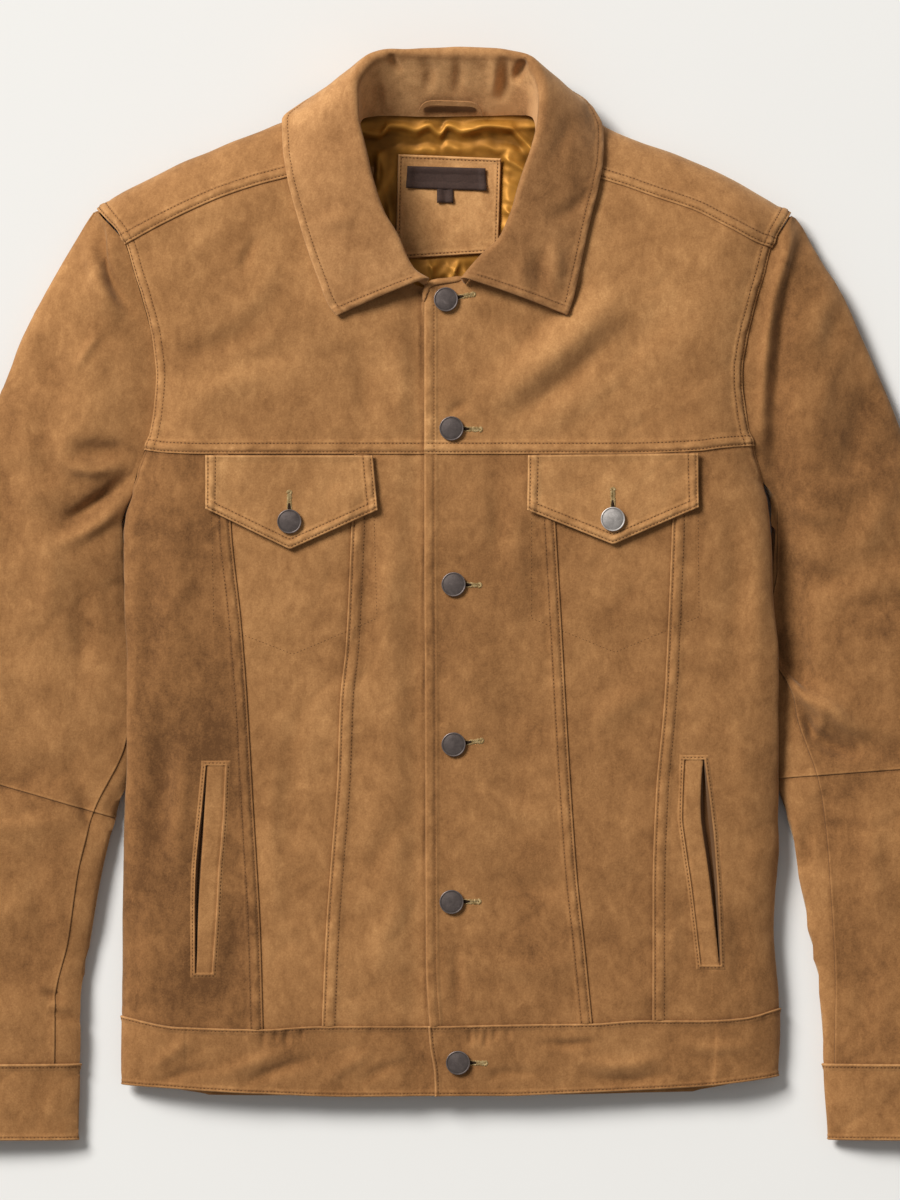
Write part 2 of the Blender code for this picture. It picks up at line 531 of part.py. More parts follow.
def build_fronts():
    for side in "LR":
        left = side == "L"
        seams = [lambda y, n=side + n: look(VEE[n], y) for n in ("_out", "_in")]
        cloth("front_yoke_" + side, front_yoke_point(side), np.linspace(0, 1, 10),
              np.arange(SHOULDER_LEVEL + 1.0), SUEDE, "suede", flip=not left)
        cloth("front_side_" + side, front_side_point(side, seams[0]), steps(0, (0.35, 3), (1, 8)),
              np.arange(float(len(SIDE_LEVELS[side]))), SUEDE, "suede", flip=left)
        rows = np.linspace(0, 1, 14)
        cloth("front_vee_" + side, between(*seams, left), np.linspace(0, 1, 4), rows, SUEDE, "suede",
              flip=not left)
        cloth("front_centre_" + side, between(seams[1], front_edge(side), left), np.linspace(0, 1, 8), rows,
              SUEDE, "suede", "u0 v0 v1" if left else "u1 v0 v1", flip=not left)
        cloth("hem_front_" + side, hem_point(side), steps(0, (0.5, 8), (1, 9)), np.linspace(0, 1, 4),
              SUEDE, "suede", "u0 v1" if left else "u1 v1", flip=not left)


# ---------------------------------------------------------------- the back
def back_point(y_left, y_right, band=False):
    """Patch of the back on the floor, its sides lifted to the side seams."""
    def point(u, v):
        y = mix(y_left(v), y_right(v), u)
        for end, seam in ((0.0, hem_y), (1.0, hem_seam_y)) if band else ((0.0, hem_seam_y),):
            share = 1 - np.abs(v - end) if band else np.clip(1 - v / 3, 0, 1)
            y = y + (seam(mix(-230.5, 231, u)) - mix(y_left(end), y_right(end), u)) * share
        a, b = (mix(np.radians(smooth(y - UNDERARM[s], (-45, 0), (36, 8))), math.pi / 2, np.clip(w / 0.3, 0, 1))
                for s, w in (("L", u), ("R", 1 - u)))
        x_left = edge_x("L", y) + UNDER_ROLL * (1 - np.cos(a) ** UNDER_SHAPE)
        x_right = edge_x("R", y) - UNDER_ROLL * (1 - np.cos(b) ** UNDER_SHAPE)
        flat = mix(edge_x("L", y) + UNDER_ROLL, edge_x("R", y) - UNDER_ROLL, np.clip((u - 0.3) / 0.4, 0, 1))
        x = np.where(u < 0.3, x_left, np.where(u > 0.7, x_right, flat))
        z = np.where(u < 0.3, back_lift("L", y) * (1 - np.sin(a) ** UNDER_SHAPE),
                     np.where(u > 0.7, back_lift("R", y) * (1 - np.sin(b) ** UNDER_SHAPE), 0.0))
        return x, y, z
    return point


def back_yoke_point(u, k):
    """Back yoke: row k from its seam on the back, over the shoulder fold, to the shoulder seam."""
    left, right = ([*ARM_LEVELS[s][SEAM_LEVEL:], *ARM_LEVELS[s][-2:SHOULDER_LEVEL - 1:-1]] for s in "LR")
    rows = np.arange(len(left))
    fold = len(ARM_LEVELS["L"]) - 1 - SEAM_LEVEL
    yl, yr = np.interp(k, rows, left), np.interp(k, rows, right)
    x = mix(edge_x("L", yl), edge_x("R", yr), u)
    straight = mix(yl, yr, u)
    f = (yl - left[0]) / (left[fold] - left[0])
    g = (left[fold] - yl) / (left[fold] - left[-1])
    fold_x = mix(float(edge_x("L", left[fold])), float(edge_x("R", right[fold])), u)
    fold_gain = look(SHOULDER, fold_x, "y", "x") - mix(left[fold], right[fold], u)
    seam_x = mix(float(edge_x("L", left[-1])), float(edge_x("R", right[-1])), u)
    seam_gain = look(SHOULDER_SEAM, seam_x, "y", "x") - mix(left[-1], right[-1], u)
    y_floor, y_top = straight + fold_gain * f, straight + mix(fold_gain, seam_gain, g)
    z_floor = SHOULDER_HEIGHT * (1 - dome(to_shoulder(x, y_floor) / SHOULDER_UNDER))
    return x, np.where(k > fold, y_top, y_floor), np.where(k > fold, front_z(x, y_top), z_floor)


def build_back():
    across = steps(0, (0.3, 6), (0.7, 4), (1, 6))
    levels = {s: (*SIDE_LEVELS[s], *ARM_LEVELS[s][1:SEAM_LEVEL + 1]) for s in "LR"}
    read = [lambda v, s=s: np.interp(v, np.arange(len(levels[s])), levels[s]) for s in "LR"]
    cloth("back_panel", back_point(*read), across, np.arange(float(len(levels["L"]))), SUEDE, "suede",
          flip=True)
    low = [lambda v, s=s, e=e: mix(float(hem_y(e)), SIDE_LEVELS[s][0], v) for s, e in (("L", -230.5), ("R", 231))]
    cloth("hem_back", back_point(*low, band=True), across, np.linspace(0, 1, 4), SUEDE, "suede", "u0 u1 v1", flip=True)

    left_end, right_end = ((x + 227.5) / 452.5 for x in (NECK_L["x"][-1], NECK_R["x"][-1]))

    def yoke(u, v):
        neck = ease((u - left_end) / 0.02) * ease((right_end - u) / 0.02)
        return back_yoke_point(u, v * mix(1.0, 7 / 11, neck))
    cols = steps(0, (left_end, 9), (left_end + 0.02, 3), (right_end - 0.02, 5), (right_end, 3), (1, 9))
    cloth("back_yoke", yoke, cols, np.arange(12.0), SUEDE, "suede", "u0 u1 v0 v1", flip=True)


# ---------------------------------------------------------------- sleeves and cuffs
def ring_steps(start, end, count):
    """Positions round a sleeve, closer together at its folds, which are at 0 and 1."""
    marks = [start, *[f for f in (0.0, 1.0) if start < f < end], end]
    out = [start]
    for low, high in zip(marks[:-1], marks[1:]):
        k = np.linspace(0, 1, max(2, round(count * (high - low))) + 1)[1:]
        if low in (0.0, 1.0) and high in (0.0, 1.0):
            k = (1 - np.cos(math.pi * k)) / 2
        elif low in (0.0, 1.0):
            k = k ** 2
        else:
            k = 1 - (1 - k) ** 2
        out += list(mix(low, high, k))
    return np.array(out)


def sleeve_strip(name, side, rows, kind, wall=SUEDE, sides="u0 u1 v0 v1"):
    """Piece of a sleeve. Places round it: 0 is the outer fold, 0..1 the top, 1..2 the underside."""
    ring = {"main": ring_steps(-UNDER_SEAM, 1.0, 10), "band": ring_steps(-0.35, 1.65, 9),
            "under": np.array((0, 0.02, 0.045, 0.075, 0.11, 0.16, 0.24, 0.42, 0.7, 1))}[kind]
    index = np.linspace(0, 1, len(ring))

    def point(u, v):
        seam = smooth(v, TOP_SEAM["row"], TOP_SEAM[side])
        r = np.interp(u, index, ring)
        if kind == "main":
            r = np.where(r > 0, r * seam, r)
        if kind == "under":
            r = mix(seam + 0.003, 2 - UNDER_SEAM, r)
        on_top = (r >= 0) & ((r < 1) if kind == "under" else (r <= 1))
        share = np.where(r < 0, -r, np.where(r <= 1, r, 2 - r))
        above, below = (sleeve_point(side, v, share, top) for top in (True, False))
        return tuple(np.where(on_top, a, b) for a, b in zip(above, below))
    cloth(name, point, index, np.asarray(rows, float), wall, "suede", sides, flip=side == "L")


def armhole_rows(side):
    """Rows of the sleeve that end on the armhole at the heights its neighbours share."""
    heights = [*ARM_LEVELS[side][::-1], *SIDE_LEVELS[side][-2:-5:-1]]
    fine = np.linspace(0, UNDERARM_ROW, 2000)
    reached = smooth(fine, np.arange(len(SLEEVE_TOP)), SLEEVE[side]["in_y"])
    return np.interp(heights, reached[::-1], fine[::-1])


def build_sleeves():
    for side in "LR":
        cap = armhole_rows(side)
        upper = [*cap, 9.6, 10.3, 11, 11.8, 12.5, 13.2, ELBOW_ROW]
        lower = np.linspace(ELBOW_ROW, CUFF_ROW, 8)
        for part, rows in (("upper", upper), ("lower", lower)):
            sleeve_strip(f"sleeve_{part}_{side}", side, rows, "main")
            sleeve_strip(f"sleeve_{part}_under_{side}", side, rows, "under")
        sleeve_strip("cuff_" + side, side, np.linspace(CUFF_ROW, END_ROW, 4), "band", 2.0, "u0 u1 v0")


# ---------------------------------------------------------------- collar, lining and label
def quad(corners):
    """Patch inside four corners given anticlockwise from the lower left."""
    ax, ay, bx, by, cx, cy, dx, dy = corners
    return lambda u, v: (mix(mix(ax, bx, u), mix(dx, cx, u), v), mix(mix(ay, by, u), mix(dy, cy, u), v))


def lining_z(x, y):
    """Top of the lining, which lies on the back yoke and climbs with it towards the neck."""
    lift = SHOULDER_HEIGHT * (1 - dome(to_shoulder(x, y) / 38))
    return lift + SUEDE + 2 * GAP + SATIN + 1.3 * ease((y - 296) / 30)


def on_lining(plan, above):
    def point(u, v):
        x, y = plan(u, v)
        return x, y, lining_z(x, y) + above
    return point


def build_neck():
    around = np.arange(float(len(COLLAR)))
    section = steps(0, (STAND_END, 2), (TURN_END, 4), (1, 4))
    cloth("collar", collar_point, section, around, COLLAR_WALL, "suede_dark", "", flip=True)
    cloth("lining_back", on_lining(quad(LINING_CORNERS), 0.0), np.linspace(0, 1, 6), np.linspace(0, 1, 10),
          SATIN, "satin", "")
    cloth("label_patch", on_lining(quad(PATCH_CORNERS), GAP + PATCH), np.linspace(0, 1, 5),
          np.linspace(0, 1, 5), PATCH, "suede", "")
    top = 2 * GAP + PATCH + LABEL
    cloth("woven_label", on_lining(quad(LABEL_CORNERS), top), np.linspace(0, 1, 4), np.linspace(0, 1, 2), LABEL,
          "woven", "")
    cloth("size_tag", on_lining(quad(TAG_CORNERS), top), np.linspace(0, 1, 2), np.linspace(0, 1, 2), LABEL,
          "woven", "")

    def loop(u, v):
        """A flat arch on the stand: across its width, then along it."""
        middle = (len(COLLAR) - 1) / 2 + mix(-LOOP_HALF, LOOP_HALF, v) / SECTION_STEP
        rise = LOOP_RISE * (1 - np.abs(2 * v - 1) ** 3.2)
        return collar_point(STAND_END * (LOOP_START + rise + LOOP_WIDE * u) / STAND_HEIGHT, middle)
    cloth("hanger_loop", loop, np.linspace(0, 1, 2), np.linspace(0, 1, 15), LABEL, "suede_dark", "",
          lift=GAP + LABEL + 0.3, flip=True)


# ---------------------------------------------------------------- pockets and buttons
def on_front(plan):
    def point(u, v):
        x, y = plan(u, v)
        return x, y, front_z(x, y)
    return point


def build_pockets():
    for side in "LR":
        top, low, welt = FLAPS[side]["top"], FLAPS[side]["bottom"], WELTS[side]
        bow = WELT_BOW[side]

        def flap(u, v, top=top, low=low):
            x_low, y_low = (np.interp(u, (0, 0.5, 1), low[k::2]) for k in (0, 1))
            return mix(x_low, mix(top[0], top[2], u), v), mix(y_low, mix(top[1], top[3], u), v)

        def band(u, v, w=welt, bow=bow):
            x = mix(mix(w["lower"][0], w["lower"][2], u), mix(w["upper"][0], w["upper"][2], u), v)
            y = mix(mix(w["lower"][1], w["lower"][3], u), mix(w["upper"][1], w["upper"][3], u), v)
            return x + bow * np.sin(math.pi * v), y
        cloth("flap_" + side, on_front(flap), np.linspace(0, 1, 9), np.linspace(0, 1, 5), FLAP_WALL, "suede",
              "", lift=GAP + FLAP_WALL)
        cloth("welt_" + side, on_front(band), np.linspace(0, 1, 3), np.linspace(0, 1, 9), PATCH, "suede", "",
              lift=GAP + PATCH)


def build_buttons():
    """Turned metal buttons: a low dome in a rounded rim, on the cloth or on a flap."""
    r, h = BUTTON_D / 2, BUTTON_H
    profile = ((0, h), (r * 0.55, h - 0.2), (r * 0.76, h - 0.7), (r * 0.86, h - 0.25), (r, h - 0.9),
               (r, h - 1.9), (r * 0.85, 0), (0, 0))
    for name, (x, y) in BUTTONS.items():
        spread = r * 0.7
        dx = (front_z(x + spread, y) - front_z(x - spread, y)) / (2 * spread)
        dy = (front_z(x, y + spread) - front_z(x, y - spread)) / (2 * spread)
        ring = np.linspace(0, 2 * math.pi, 24, endpoint=False)
        px, py = x + r * np.cos(ring), y + r * np.sin(ring)
        seat = np.max(front_z(px, py) - (px - x) * dx - (py - y) * dy)
        seat = max(seat, float(front_z(x, y))) + 0.35 + (GAP + FLAP_WALL if "flap" in name else 0)
        bm = bmesh.new()
        verts = [bm.verts.new((px * MM, 0, pz * MM)) for px, pz in profile]
        for a, b in zip(verts, verts[1:]):
            bm.edges.new((a, b))
        obj = place(name, bm, "metal")
        obj.location = (x * MM, y * MM, seat * MM)
        obj.rotation_euler = Vector((-dx, -dy, 1)).to_track_quat("Z", "Y").to_euler()
        screw = obj.modifiers.new("turn", "SCREW")
        screw.axis, screw.angle = "Z", 2 * math.pi
        screw.steps = screw.render_steps = 16
        screw.use_merge_vertices, screw.merge_threshold = True, 0.00001
        screw.use_smooth_shade = True


def main():
    for obj in list(bpy.data.objects):
        bpy.data.objects.remove(obj, do_unlink=True)
    bpy.context.scene.collection.children.link(PARTS)
    build_fronts()
    build_back()
    build_sleeves()
    build_neck()
    build_pockets()
    build_buttons()


PARTS = bpy.data.collections.new("suede_trucker_jacket")
main()
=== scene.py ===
"""Suede trucker jacket, laid flat and seen from straight above: the pieces that show, over the CAD.

Sizes are in millimetres in the jacket's own frame, as in the CAD: +X to the right and +Y towards
the collar as the jacket is seen, +Z up off the floor. The panels are the CAD's own surfaces drawn
finely, with their seams, puckers and creases as relief, and every stitch is a thread of its own.
"""
import math

import bpy
import numpy as np
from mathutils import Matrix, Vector
from mathutils.bvhtree import BVHTree


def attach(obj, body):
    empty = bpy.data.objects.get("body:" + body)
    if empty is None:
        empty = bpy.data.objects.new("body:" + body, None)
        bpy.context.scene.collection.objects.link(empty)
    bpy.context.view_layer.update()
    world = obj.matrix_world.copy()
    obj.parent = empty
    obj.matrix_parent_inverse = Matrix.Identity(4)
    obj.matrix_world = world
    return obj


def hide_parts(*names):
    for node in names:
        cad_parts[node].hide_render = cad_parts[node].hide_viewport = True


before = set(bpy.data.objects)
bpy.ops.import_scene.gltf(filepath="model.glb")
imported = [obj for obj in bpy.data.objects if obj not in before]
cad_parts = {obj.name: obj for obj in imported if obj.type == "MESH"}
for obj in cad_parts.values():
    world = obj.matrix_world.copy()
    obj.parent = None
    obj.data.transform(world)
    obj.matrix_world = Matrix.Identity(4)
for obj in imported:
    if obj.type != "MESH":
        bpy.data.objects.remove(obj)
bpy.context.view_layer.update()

MM = 0.001
GAP = 0.3             # between two pieces that meet
SUEDE = 1.4           # wall of the suede panels
COLLAR_WALL = 2.4     # two layers of suede with an interlining
SATIN = 1.0           # wall of the lining
PATCH = 1.2           # suede patch and welts
FLAP_WALL = 1.8
CUFF_WALL = 2.0
LABEL = 0.8           # woven label and tag
BUTTON_D = 17.0
SIDE_ROLL = 46.0      # how far in from a side fold the front is still falling
UNDER_ROLL = 60.0     # how far in the back panel lifts off the floor towards its side seam
UNDER_SHAPE = 1.667   # how quickly the back leaves the side fold: 1 is round, more is flatter
SHOULDER_ROLL = 42.0
SHOULDER_UNDER = 30.0
SHOULDER_HEIGHT = 11.0
SHOULDER_SLOPE = 0.92  # turns a distance along Y into one across the sloping shoulder line
BODY_SPAN = (-300.0, 100.0)             # from the hem seam to the chest seam, roughly
PLACKET_CORNER = 98.0                   # height of the chest seam at the front edge
LINING_ROLL, LINING_CLIMB = 38.0, 1.3   # the lining at the neck: its roll and how much it rises more
OVERLAP = 28.0        # how far the left front runs on under the right front
LAP_DROP = 2.3        # and how much lower it lies there
LAP_START, LAP_SOFT = -38.0, 15.0       # where it begins to dip, and over what distance
UNDERARM = {"L": 70.0, "R": 81.0}
# Where the front ends round the side fold and the back begins, in degrees from the floor's level,
# by the height above the underarm
SIDE_TURN = dict(y=(-45, 0, 34), angle=(-35, 0, 25))
BACK_TURN = dict(y=(-45, 0), angle=(36, 8))
BACK_DOWN = 36.0      # this far above the underarm the back's edge is down on the floor
SIDE_FLAT = 0.35      # share of a side panel's mesh on top, before it goes round the fold
HEM_ROUND = 0.5       # share of a front hem's mesh that goes round the fold
BACK_ROUND = 0.3      # share of the back's mesh, at either side, that rises to the side seam

# The body at each height: left and right edge (side fold, then armhole, then shoulder point)
EDGE_L = dict(y=(-352, -332, -296, -255, -213, -144, -124, -42, -17, 41, 56, 70, 88, 102, 128, 155, 181,
                 205, 228, 246, 272),
              x=(-230.5, -231.5, -231, -231, -230, -229, -227.5, -227, -229, -229, -227.5, -223, -218.5,
                 -214, -208, -206, -209, -215, -222, -227.5, -249))
EDGE_R = dict(y=(-352, -336, -307, -284, -266, -236, -213, -177, -70, -33, -17, 7, 42, 68, 81, 104, 130,
                 156, 179, 205, 226, 244, 269),
              x=(231, 231, 232.5, 232, 230, 228, 229, 231, 231, 230, 228, 226, 225, 222, 218, 212, 207,
                 205, 208, 214, 220, 225, 241))
# Height of the front's crown and of the side fold above the floor
CROWN = dict(y=(-352, -302, -215, -100, 0, 100, 200, 260, 300, 345),
             z=(19, 24, 28, 32, 36, 39.5, 40.5, 38, 34, 29))
FOLD = dict(y=(-352, -215, -150, -90, -20, 60, 105, 155, 250, 300),
            z=(8, 9, 14, 22, 24, 22, 21, 21, 19, 17))
# Seams of the front and the shoulder line
CHEST = dict(x=(-214, -200, -173, -105, 55, 119, 174, 189, 212), y=(102, 100, 99, 99, 99, 99, 101, 103, 105))
HEM_SEAM = dict(x=(-232, -191, -131, -93, -14, 35, 101, 133, 175, 205, 232),
                y=(-295, -302.5, -304, -302, -302, -301, -300, -298, -298, -296.5, -290))
HEM = dict(x=(-232, -200, -131, -70, -11, 36, 76, 133, 175, 203, 232),
           y=(-344, -346, -350, -352, -351.5, -351.5, -350, -347.5, -345, -342, -338))
SHOULDER_SEAM = dict(x=(-228, -195, -157, -124, -62, 60, 118, 144, 170, 196, 217, 225),
                     y=(246, 263, 280, 290, 303, 303, 288, 279, 270, 257, 246.5, 244))
SHOULDER = dict(x=(-249, -241, -230, -216, -202, -188, -170, -154, -135, -118, -97, -60, 0, 60, 98, 109,
                   134, 155, 172, 188, 202, 214, 226, 241),
                y=(271, 277, 284, 291, 298, 305, 312, 319, 326, 333, 339, 345, 347, 345, 338, 330, 319, 312,
                   305, 298, 291, 284, 277, 268))
VEE = {"L_out": dict(y=(-304, -234, -145, -73, -20, 48, 100), x=(-131, -133, -138, -142, -146, -153, -155)),
       "L_in": dict(y=(-302, -234, -180, -127, -73, -35, 50, 100),
                    x=(-90, -87, -83, -79, -77, -73, -69, -67)),
       "R_in": dict(y=(-301, -251, -195, -139, -73, -19, 49, 100), x=(100, 95, 89, 85, 81, 78, 74, 71)),
       "R_out": dict(y=(-300, -204, -143, -73, -35, 52, 101), x=(142, 142, 144, 150, 152, 155.5, 157))}
PLACKET = dict(y=(-352, -325, -301, -255, -73, 25, 98, 137, 176, 205, 222),
               x=(-10.5, -11, -14.5, -17, -17.5, -18, -18, -19, -19.5, -21, -18))
NECK_L = dict(t=(0, 0.08, 0.22, 0.36, 0.5, 0.66, 0.84, 1), x=(10, -18, -31, -38, -45, -55, -64, -70),
              y=(213, 215.5, 223, 236, 250, 268, 288, 302.9))
NECK_R = dict(t=(0, 0.18, 0.28, 0.4, 0.52, 0.68, 0.86, 1), x=(-18, 9, 20, 32, 41, 50, 58, 66),
              y=(219, 223, 226, 235, 248, 267, 288, 302.9))

# Broad folds in the cloth of the body: half width, height, from and to
BODY_FOLDS = [(15, 2.2, (122, 205), (14, 128)),
              (13, -1.6, (165, 214), (70, 112)),
              (18, 1.6, (-165, 240), (-60, 140)),
              (14, -1.5, (-200, 150), (-95, 175)),
              (11, -1.8, (-200, -60), (-197, -250)),
              (12, -1.4, (200, -40), (204, -240)),
              (16, 1.5, (-40, -40), (-52, -250)),
              (15, -1.4, (45, -60), (40, -240))]

# The sleeves, a row for each station from the shoulder point to the cuff's end. Down to the
# underarm a row ends on the armhole at the height `in_y`, and below it on the sleeve's inner fold.
SLEEVE = {
    "L": dict(out_x=(-251, -256, -262, -274, -287, -300, -312, -323, -331, -338, -345, -356, -366, -374,
                     -380.5, -384, -386, -387, -388, -388.5),
              out_y=(269.5, 262, 252, 232, 208, 182, 153, 124, 101, 80, 57, 18, -24, -68, -114, -170, -228,
                     -281, -329, -383),
              in_x=(0, 0, 0, 0, 0, 0, 0, 0, 0, -223, -230.5, -227, -218, -219, -235, -246, -253, -259, -260,
                    -261),
              in_y=(271, 258, 243, 222, 197, 168, 138, 110, 88, 70, 48, -4, -54, -106, -157, -200, -243,
                    -284, -329, -383)),
    "R": dict(out_x=(243, 248, 255, 265, 277, 289, 301, 310, 317, 324, 331, 342, 353, 363, 371.5, 376.5, 381,
                     384, 385, 385),
              out_y=(265.5, 259, 246, 229, 208, 183, 156, 135, 117, 99, 77, 40, -5, -58, -118, -165, -225,
                     -280, -329, -383),
              in_x=(0, 0, 0, 0, 0, 0, 0, 0, 0, 218, 225.5, 224, 215, 214, 229, 240, 250, 260, 262, 266),
              in_y=(267, 255, 241, 220, 195, 168, 140, 116, 97, 81, 60, 18, -32, -82, -129, -168, -226,
                    -281, -329, -383))}
SLEEVE_TOP = (14, 21, 26, 30, 31.5, 31.5, 31, 30, 28, 26, 24, 22.5, 21.5, 21, 20.5, 20, 19.5, 19, 18.5, 17)
SLEEVE_OUT = (10.5, 10.5, 10.5, 10, 10, 10, 10, 10, 9.5, 9.5, 9.5, 9, 9, 9, 9, 8.5, 8.5, 8.5, 8.5, 8.5)
SLEEVE_IN = (0, 0, 0, 0, 0, 0, 0, 0, 0, 0, 16, 8.5, 7.5, 7.5, 8, 8, 8, 8, 8, 8)
UNDERARM_ROW, ELBOW_ROW, CUFF_ROW, END_ROW = 9, 14, 18, 19
# Heights on the body's edge that every panel meeting there shares: side seam, then armhole
SIDE_LEVELS = {"L": (-295, -250, -205, -160, -122, -86, -50, -15, 15, 38, 55, 70, 80, 90, 102),
               "R": (-290, -248, -205, -160, -122, -86, -50, -12, 20, 45, 64, 81, 88, 96, 104.5)}
ARM_LEVELS = {"L": (102, 118, 134, 150, 165, 182, 198, 214, 230, 246, 256, 265, 271),
              "R": (104.5, 120, 135, 150, 165, 181, 197, 213, 229, 244, 253, 261, 267)}
SEAM_LEVEL, SHOULDER_LEVEL = 4, 9      # in ARM_LEVELS: the back yoke's seam, the front yoke's top
YOKE_ROW, NECK_YOKE_ROW = 11.0, 7       # the back yoke's last row, and its last one in the neck
YOKE_LEFT, YOKE_WIDE = -227.5, 452.5    # the back yoke's upper edge
HEM_CORNERS = (EDGE_L["x"][0], EDGE_R["x"][0])
# Where the seam runs on the top of the sleeve, as a share of its width from the outer fold
TOP_SEAM = dict(row=(9, 12, 13, 14, 15, 16, 17, 18), L=(1, 1, 0.945, 0.897, 0.888, 0.889, 0.86, 0.863),
                R=(1, 0.95, 0.815, 0.8, 0.825, 0.86, 0.915, 0.935))
UNDER_SEAM = 0.14     # the sleeve's second seam, on its underside
CUFF_SEAM = 0.35      # and the cuff's only one
SEAM_TUCK = 0.002     # how far the strip below reaches under the one above
SLEEVE_UNDER = 18.0   # how far in from a fold the sleeve's underside is still lifted
SLEEVE_SOFT = 14.0    # the creases fade out over this distance to a fold
SLEEVE_FOLDS = {"L": [(11, -2.6, (-322, 70), (-238, 38)),
                      (10, 2.2, (-312, 108), (-235, 90)),
                      (9, -2.2, (-262, 205), (-226, 150)),
                      (14, 1.6, (-355, -40), (-262, -70)),
                      (11, -1.8, (-372, -118), (-262, -126)),
                      (9, 1.5, (-375, -285), (-300, -300))],
                "R": [(12, -2.6, (336, 40), (250, 5)),
                      (11, 2.2, (320, 92), (240, 60)),
                      (9, 2.4, (232, -53), (296, -98)),
                      (8, -2.2, (234, -36), (262, -66)),
                      (10, -2.0, (262, -100), (345, -112)),
                      (10, -1.6, (276, 200), (240, 150))]}

# Collar sections from the left front round the back to the right front: the neck seam, the roll
# (its crest) and the outer edge. A leaf height of 0 lays the edge on the front of the jacket.
COLLAR = [((-17, 219, 41.5), (-15, 222, 49), (-79, 195.6, 0)),
          ((-27, 226, 41.5), (-25, 228, 50), (-85, 203, 0)),
          ((-33, 237, 41.5), (-31, 238, 51), (-92, 221, 0)),
          ((-39, 251, 41), (-36, 251, 52), (-100, 243, 0)),
          ((-49, 268, 40.5), (-46, 268, 53), (-107, 266, 0)),
          ((-57, 290, 38), (-54, 290, 54), (-113.5, 291, 0)),
          ((-61, 312, 33), (-60, 314, 54), (-117.5, 315, 0)),
          ((-63, 328, 25), (-65.5, 338, 52), (-118, 333, 25)),
          ((-61, 335, 16), (-66.5, 356, 49), (-109, 341, 17)),
          ((-55, 337, 11), (-62, 369, 46), (-90, 353, 10)),
          ((-45, 338, 9.5), (-52, 379, 43), (-66, 362, 5)),
          ((-28, 337.5, 9), (-35, 382.5, 40), (-40, 356, 2.2)),
          ((0, 337, 9), (0, 382.5, 38), (0, 354, 1.5)),
          ((28, 337.5, 9), (35, 381.5, 40), (38, 355, 2.2)),
          ((43, 338, 9.5), (53, 377, 43), (63, 361, 5)),
          ((53, 338, 11), (62, 366, 46), (86, 353, 10)),
          ((58, 336, 16), (65, 350, 49), (102, 341, 17)),
          ((60, 328, 25), (63.5, 333, 52), (108, 326, 24)),
          ((57, 310, 33), (58, 313, 54), (107.5, 306, 0)),
          ((51, 289, 38), (49.5, 290, 54), (104, 286, 0)),
          ((45, 267, 40.5), (43, 267, 53), (99, 265, 0)),
          ((37, 250, 41.5), (35, 249, 52), (94, 243, 0)),
          ((27, 239, 42), (24, 239, 51), (89.5, 221, 0)),
          ((16, 228, 42), (14, 229, 50), (85.5, 204, 0)),
          ((9, 219, 42), (8, 222, 49), (82, 196, 0))]
MIDDLE_SECTION = (len(COLLAR) - 1) / 2
RIGHT_LEAF = 15.0     # the section where the right leaf begins
ROLL_RADIUS = 4.2
STAND_END, TURN_END = 0.35, 0.6        # shares of a section: the stand, then the roll, then the leaf
LEAF_BULGE = 2.2
LEAF_LIFT = 1.4                        # under the leaf's edge, where it lies on the front

# Things on the panels: corners in plan
FLAPS = {"L": dict(top=(-171, 98, -54, 98), bottom=(-171, 61, -112, 32.5, -50.5, 60)),
         "R": dict(top=(54.5, 98, 173.5, 99.5), bottom=(54, 60, 114, 36, 174, 62))}
FLAP_TUCK = 0.5       # how far a flap's top reaches to the edge of the yoke
PATCH_CORNERS = (-38.5, 237, 34, 241.5, 36, 308, -36.5, 311)   # lower left, then anticlockwise
LABEL_CORNERS = (-31, 287, 26, 285, 25, 301, -30, 302.6)
TAG_CORNERS = (-9.2, 276.6, 2.4, 276.6, 2.4, 287, -9.2, 287)
LINING_CORNERS = (-90, 190, 90, 190, 62, 341, -63, 341)
PATCH_BOX = dict(y=(238, 309), left=(-37, -36), right=(34, 35))     # where the satin lies flat under it
# The crest of the lining's ruffle below the neck seam
RUFFLE = dict(x=(-64, -50, -42, -33, -24, -15, -7, -1.5, 9, 27, 42, 50, 60),
              y=(328, 324.5, 331, 330.5, 328, 331, 325.5, 331, 327.5, 331.5, 330, 322.5, 313))
LOOP_HALF, LOOP_WIDE, LOOP_START, LOOP_RISE = 23.0, 4.0, 2.0, 10.0
LOOP_GAP = 0.07       # how far up the stand, as a share of a section, the loop leaves it uncovered; there the stand carries the loop's painted shadow
SECTION_STEP, STAND_HEIGHT = 31.0, 52.0     # of the collar at the middle of the back
# Buttons: where each sits, the way its buttonhole runs from it in degrees, and how far
BUTTONS = {"button_front_1": (-3, 207, 11, 19.5), "button_front_2": (1, 117, -2, 20),
           "button_front_3": (2.5, 8, -2, 18), "button_front_4": (2.5, -104, 7, 19.5),
           "button_front_5": (1, -214.5, 0, 19), "button_front_6": (5.6, -327.5, -2, 19),
           "button_flap_L": (-112.3, 52, 90, 20), "button_flap_R": (113.8, 53.5, 90, 20.5)}
BRIGHT_BUTTON = "button_flap_R"
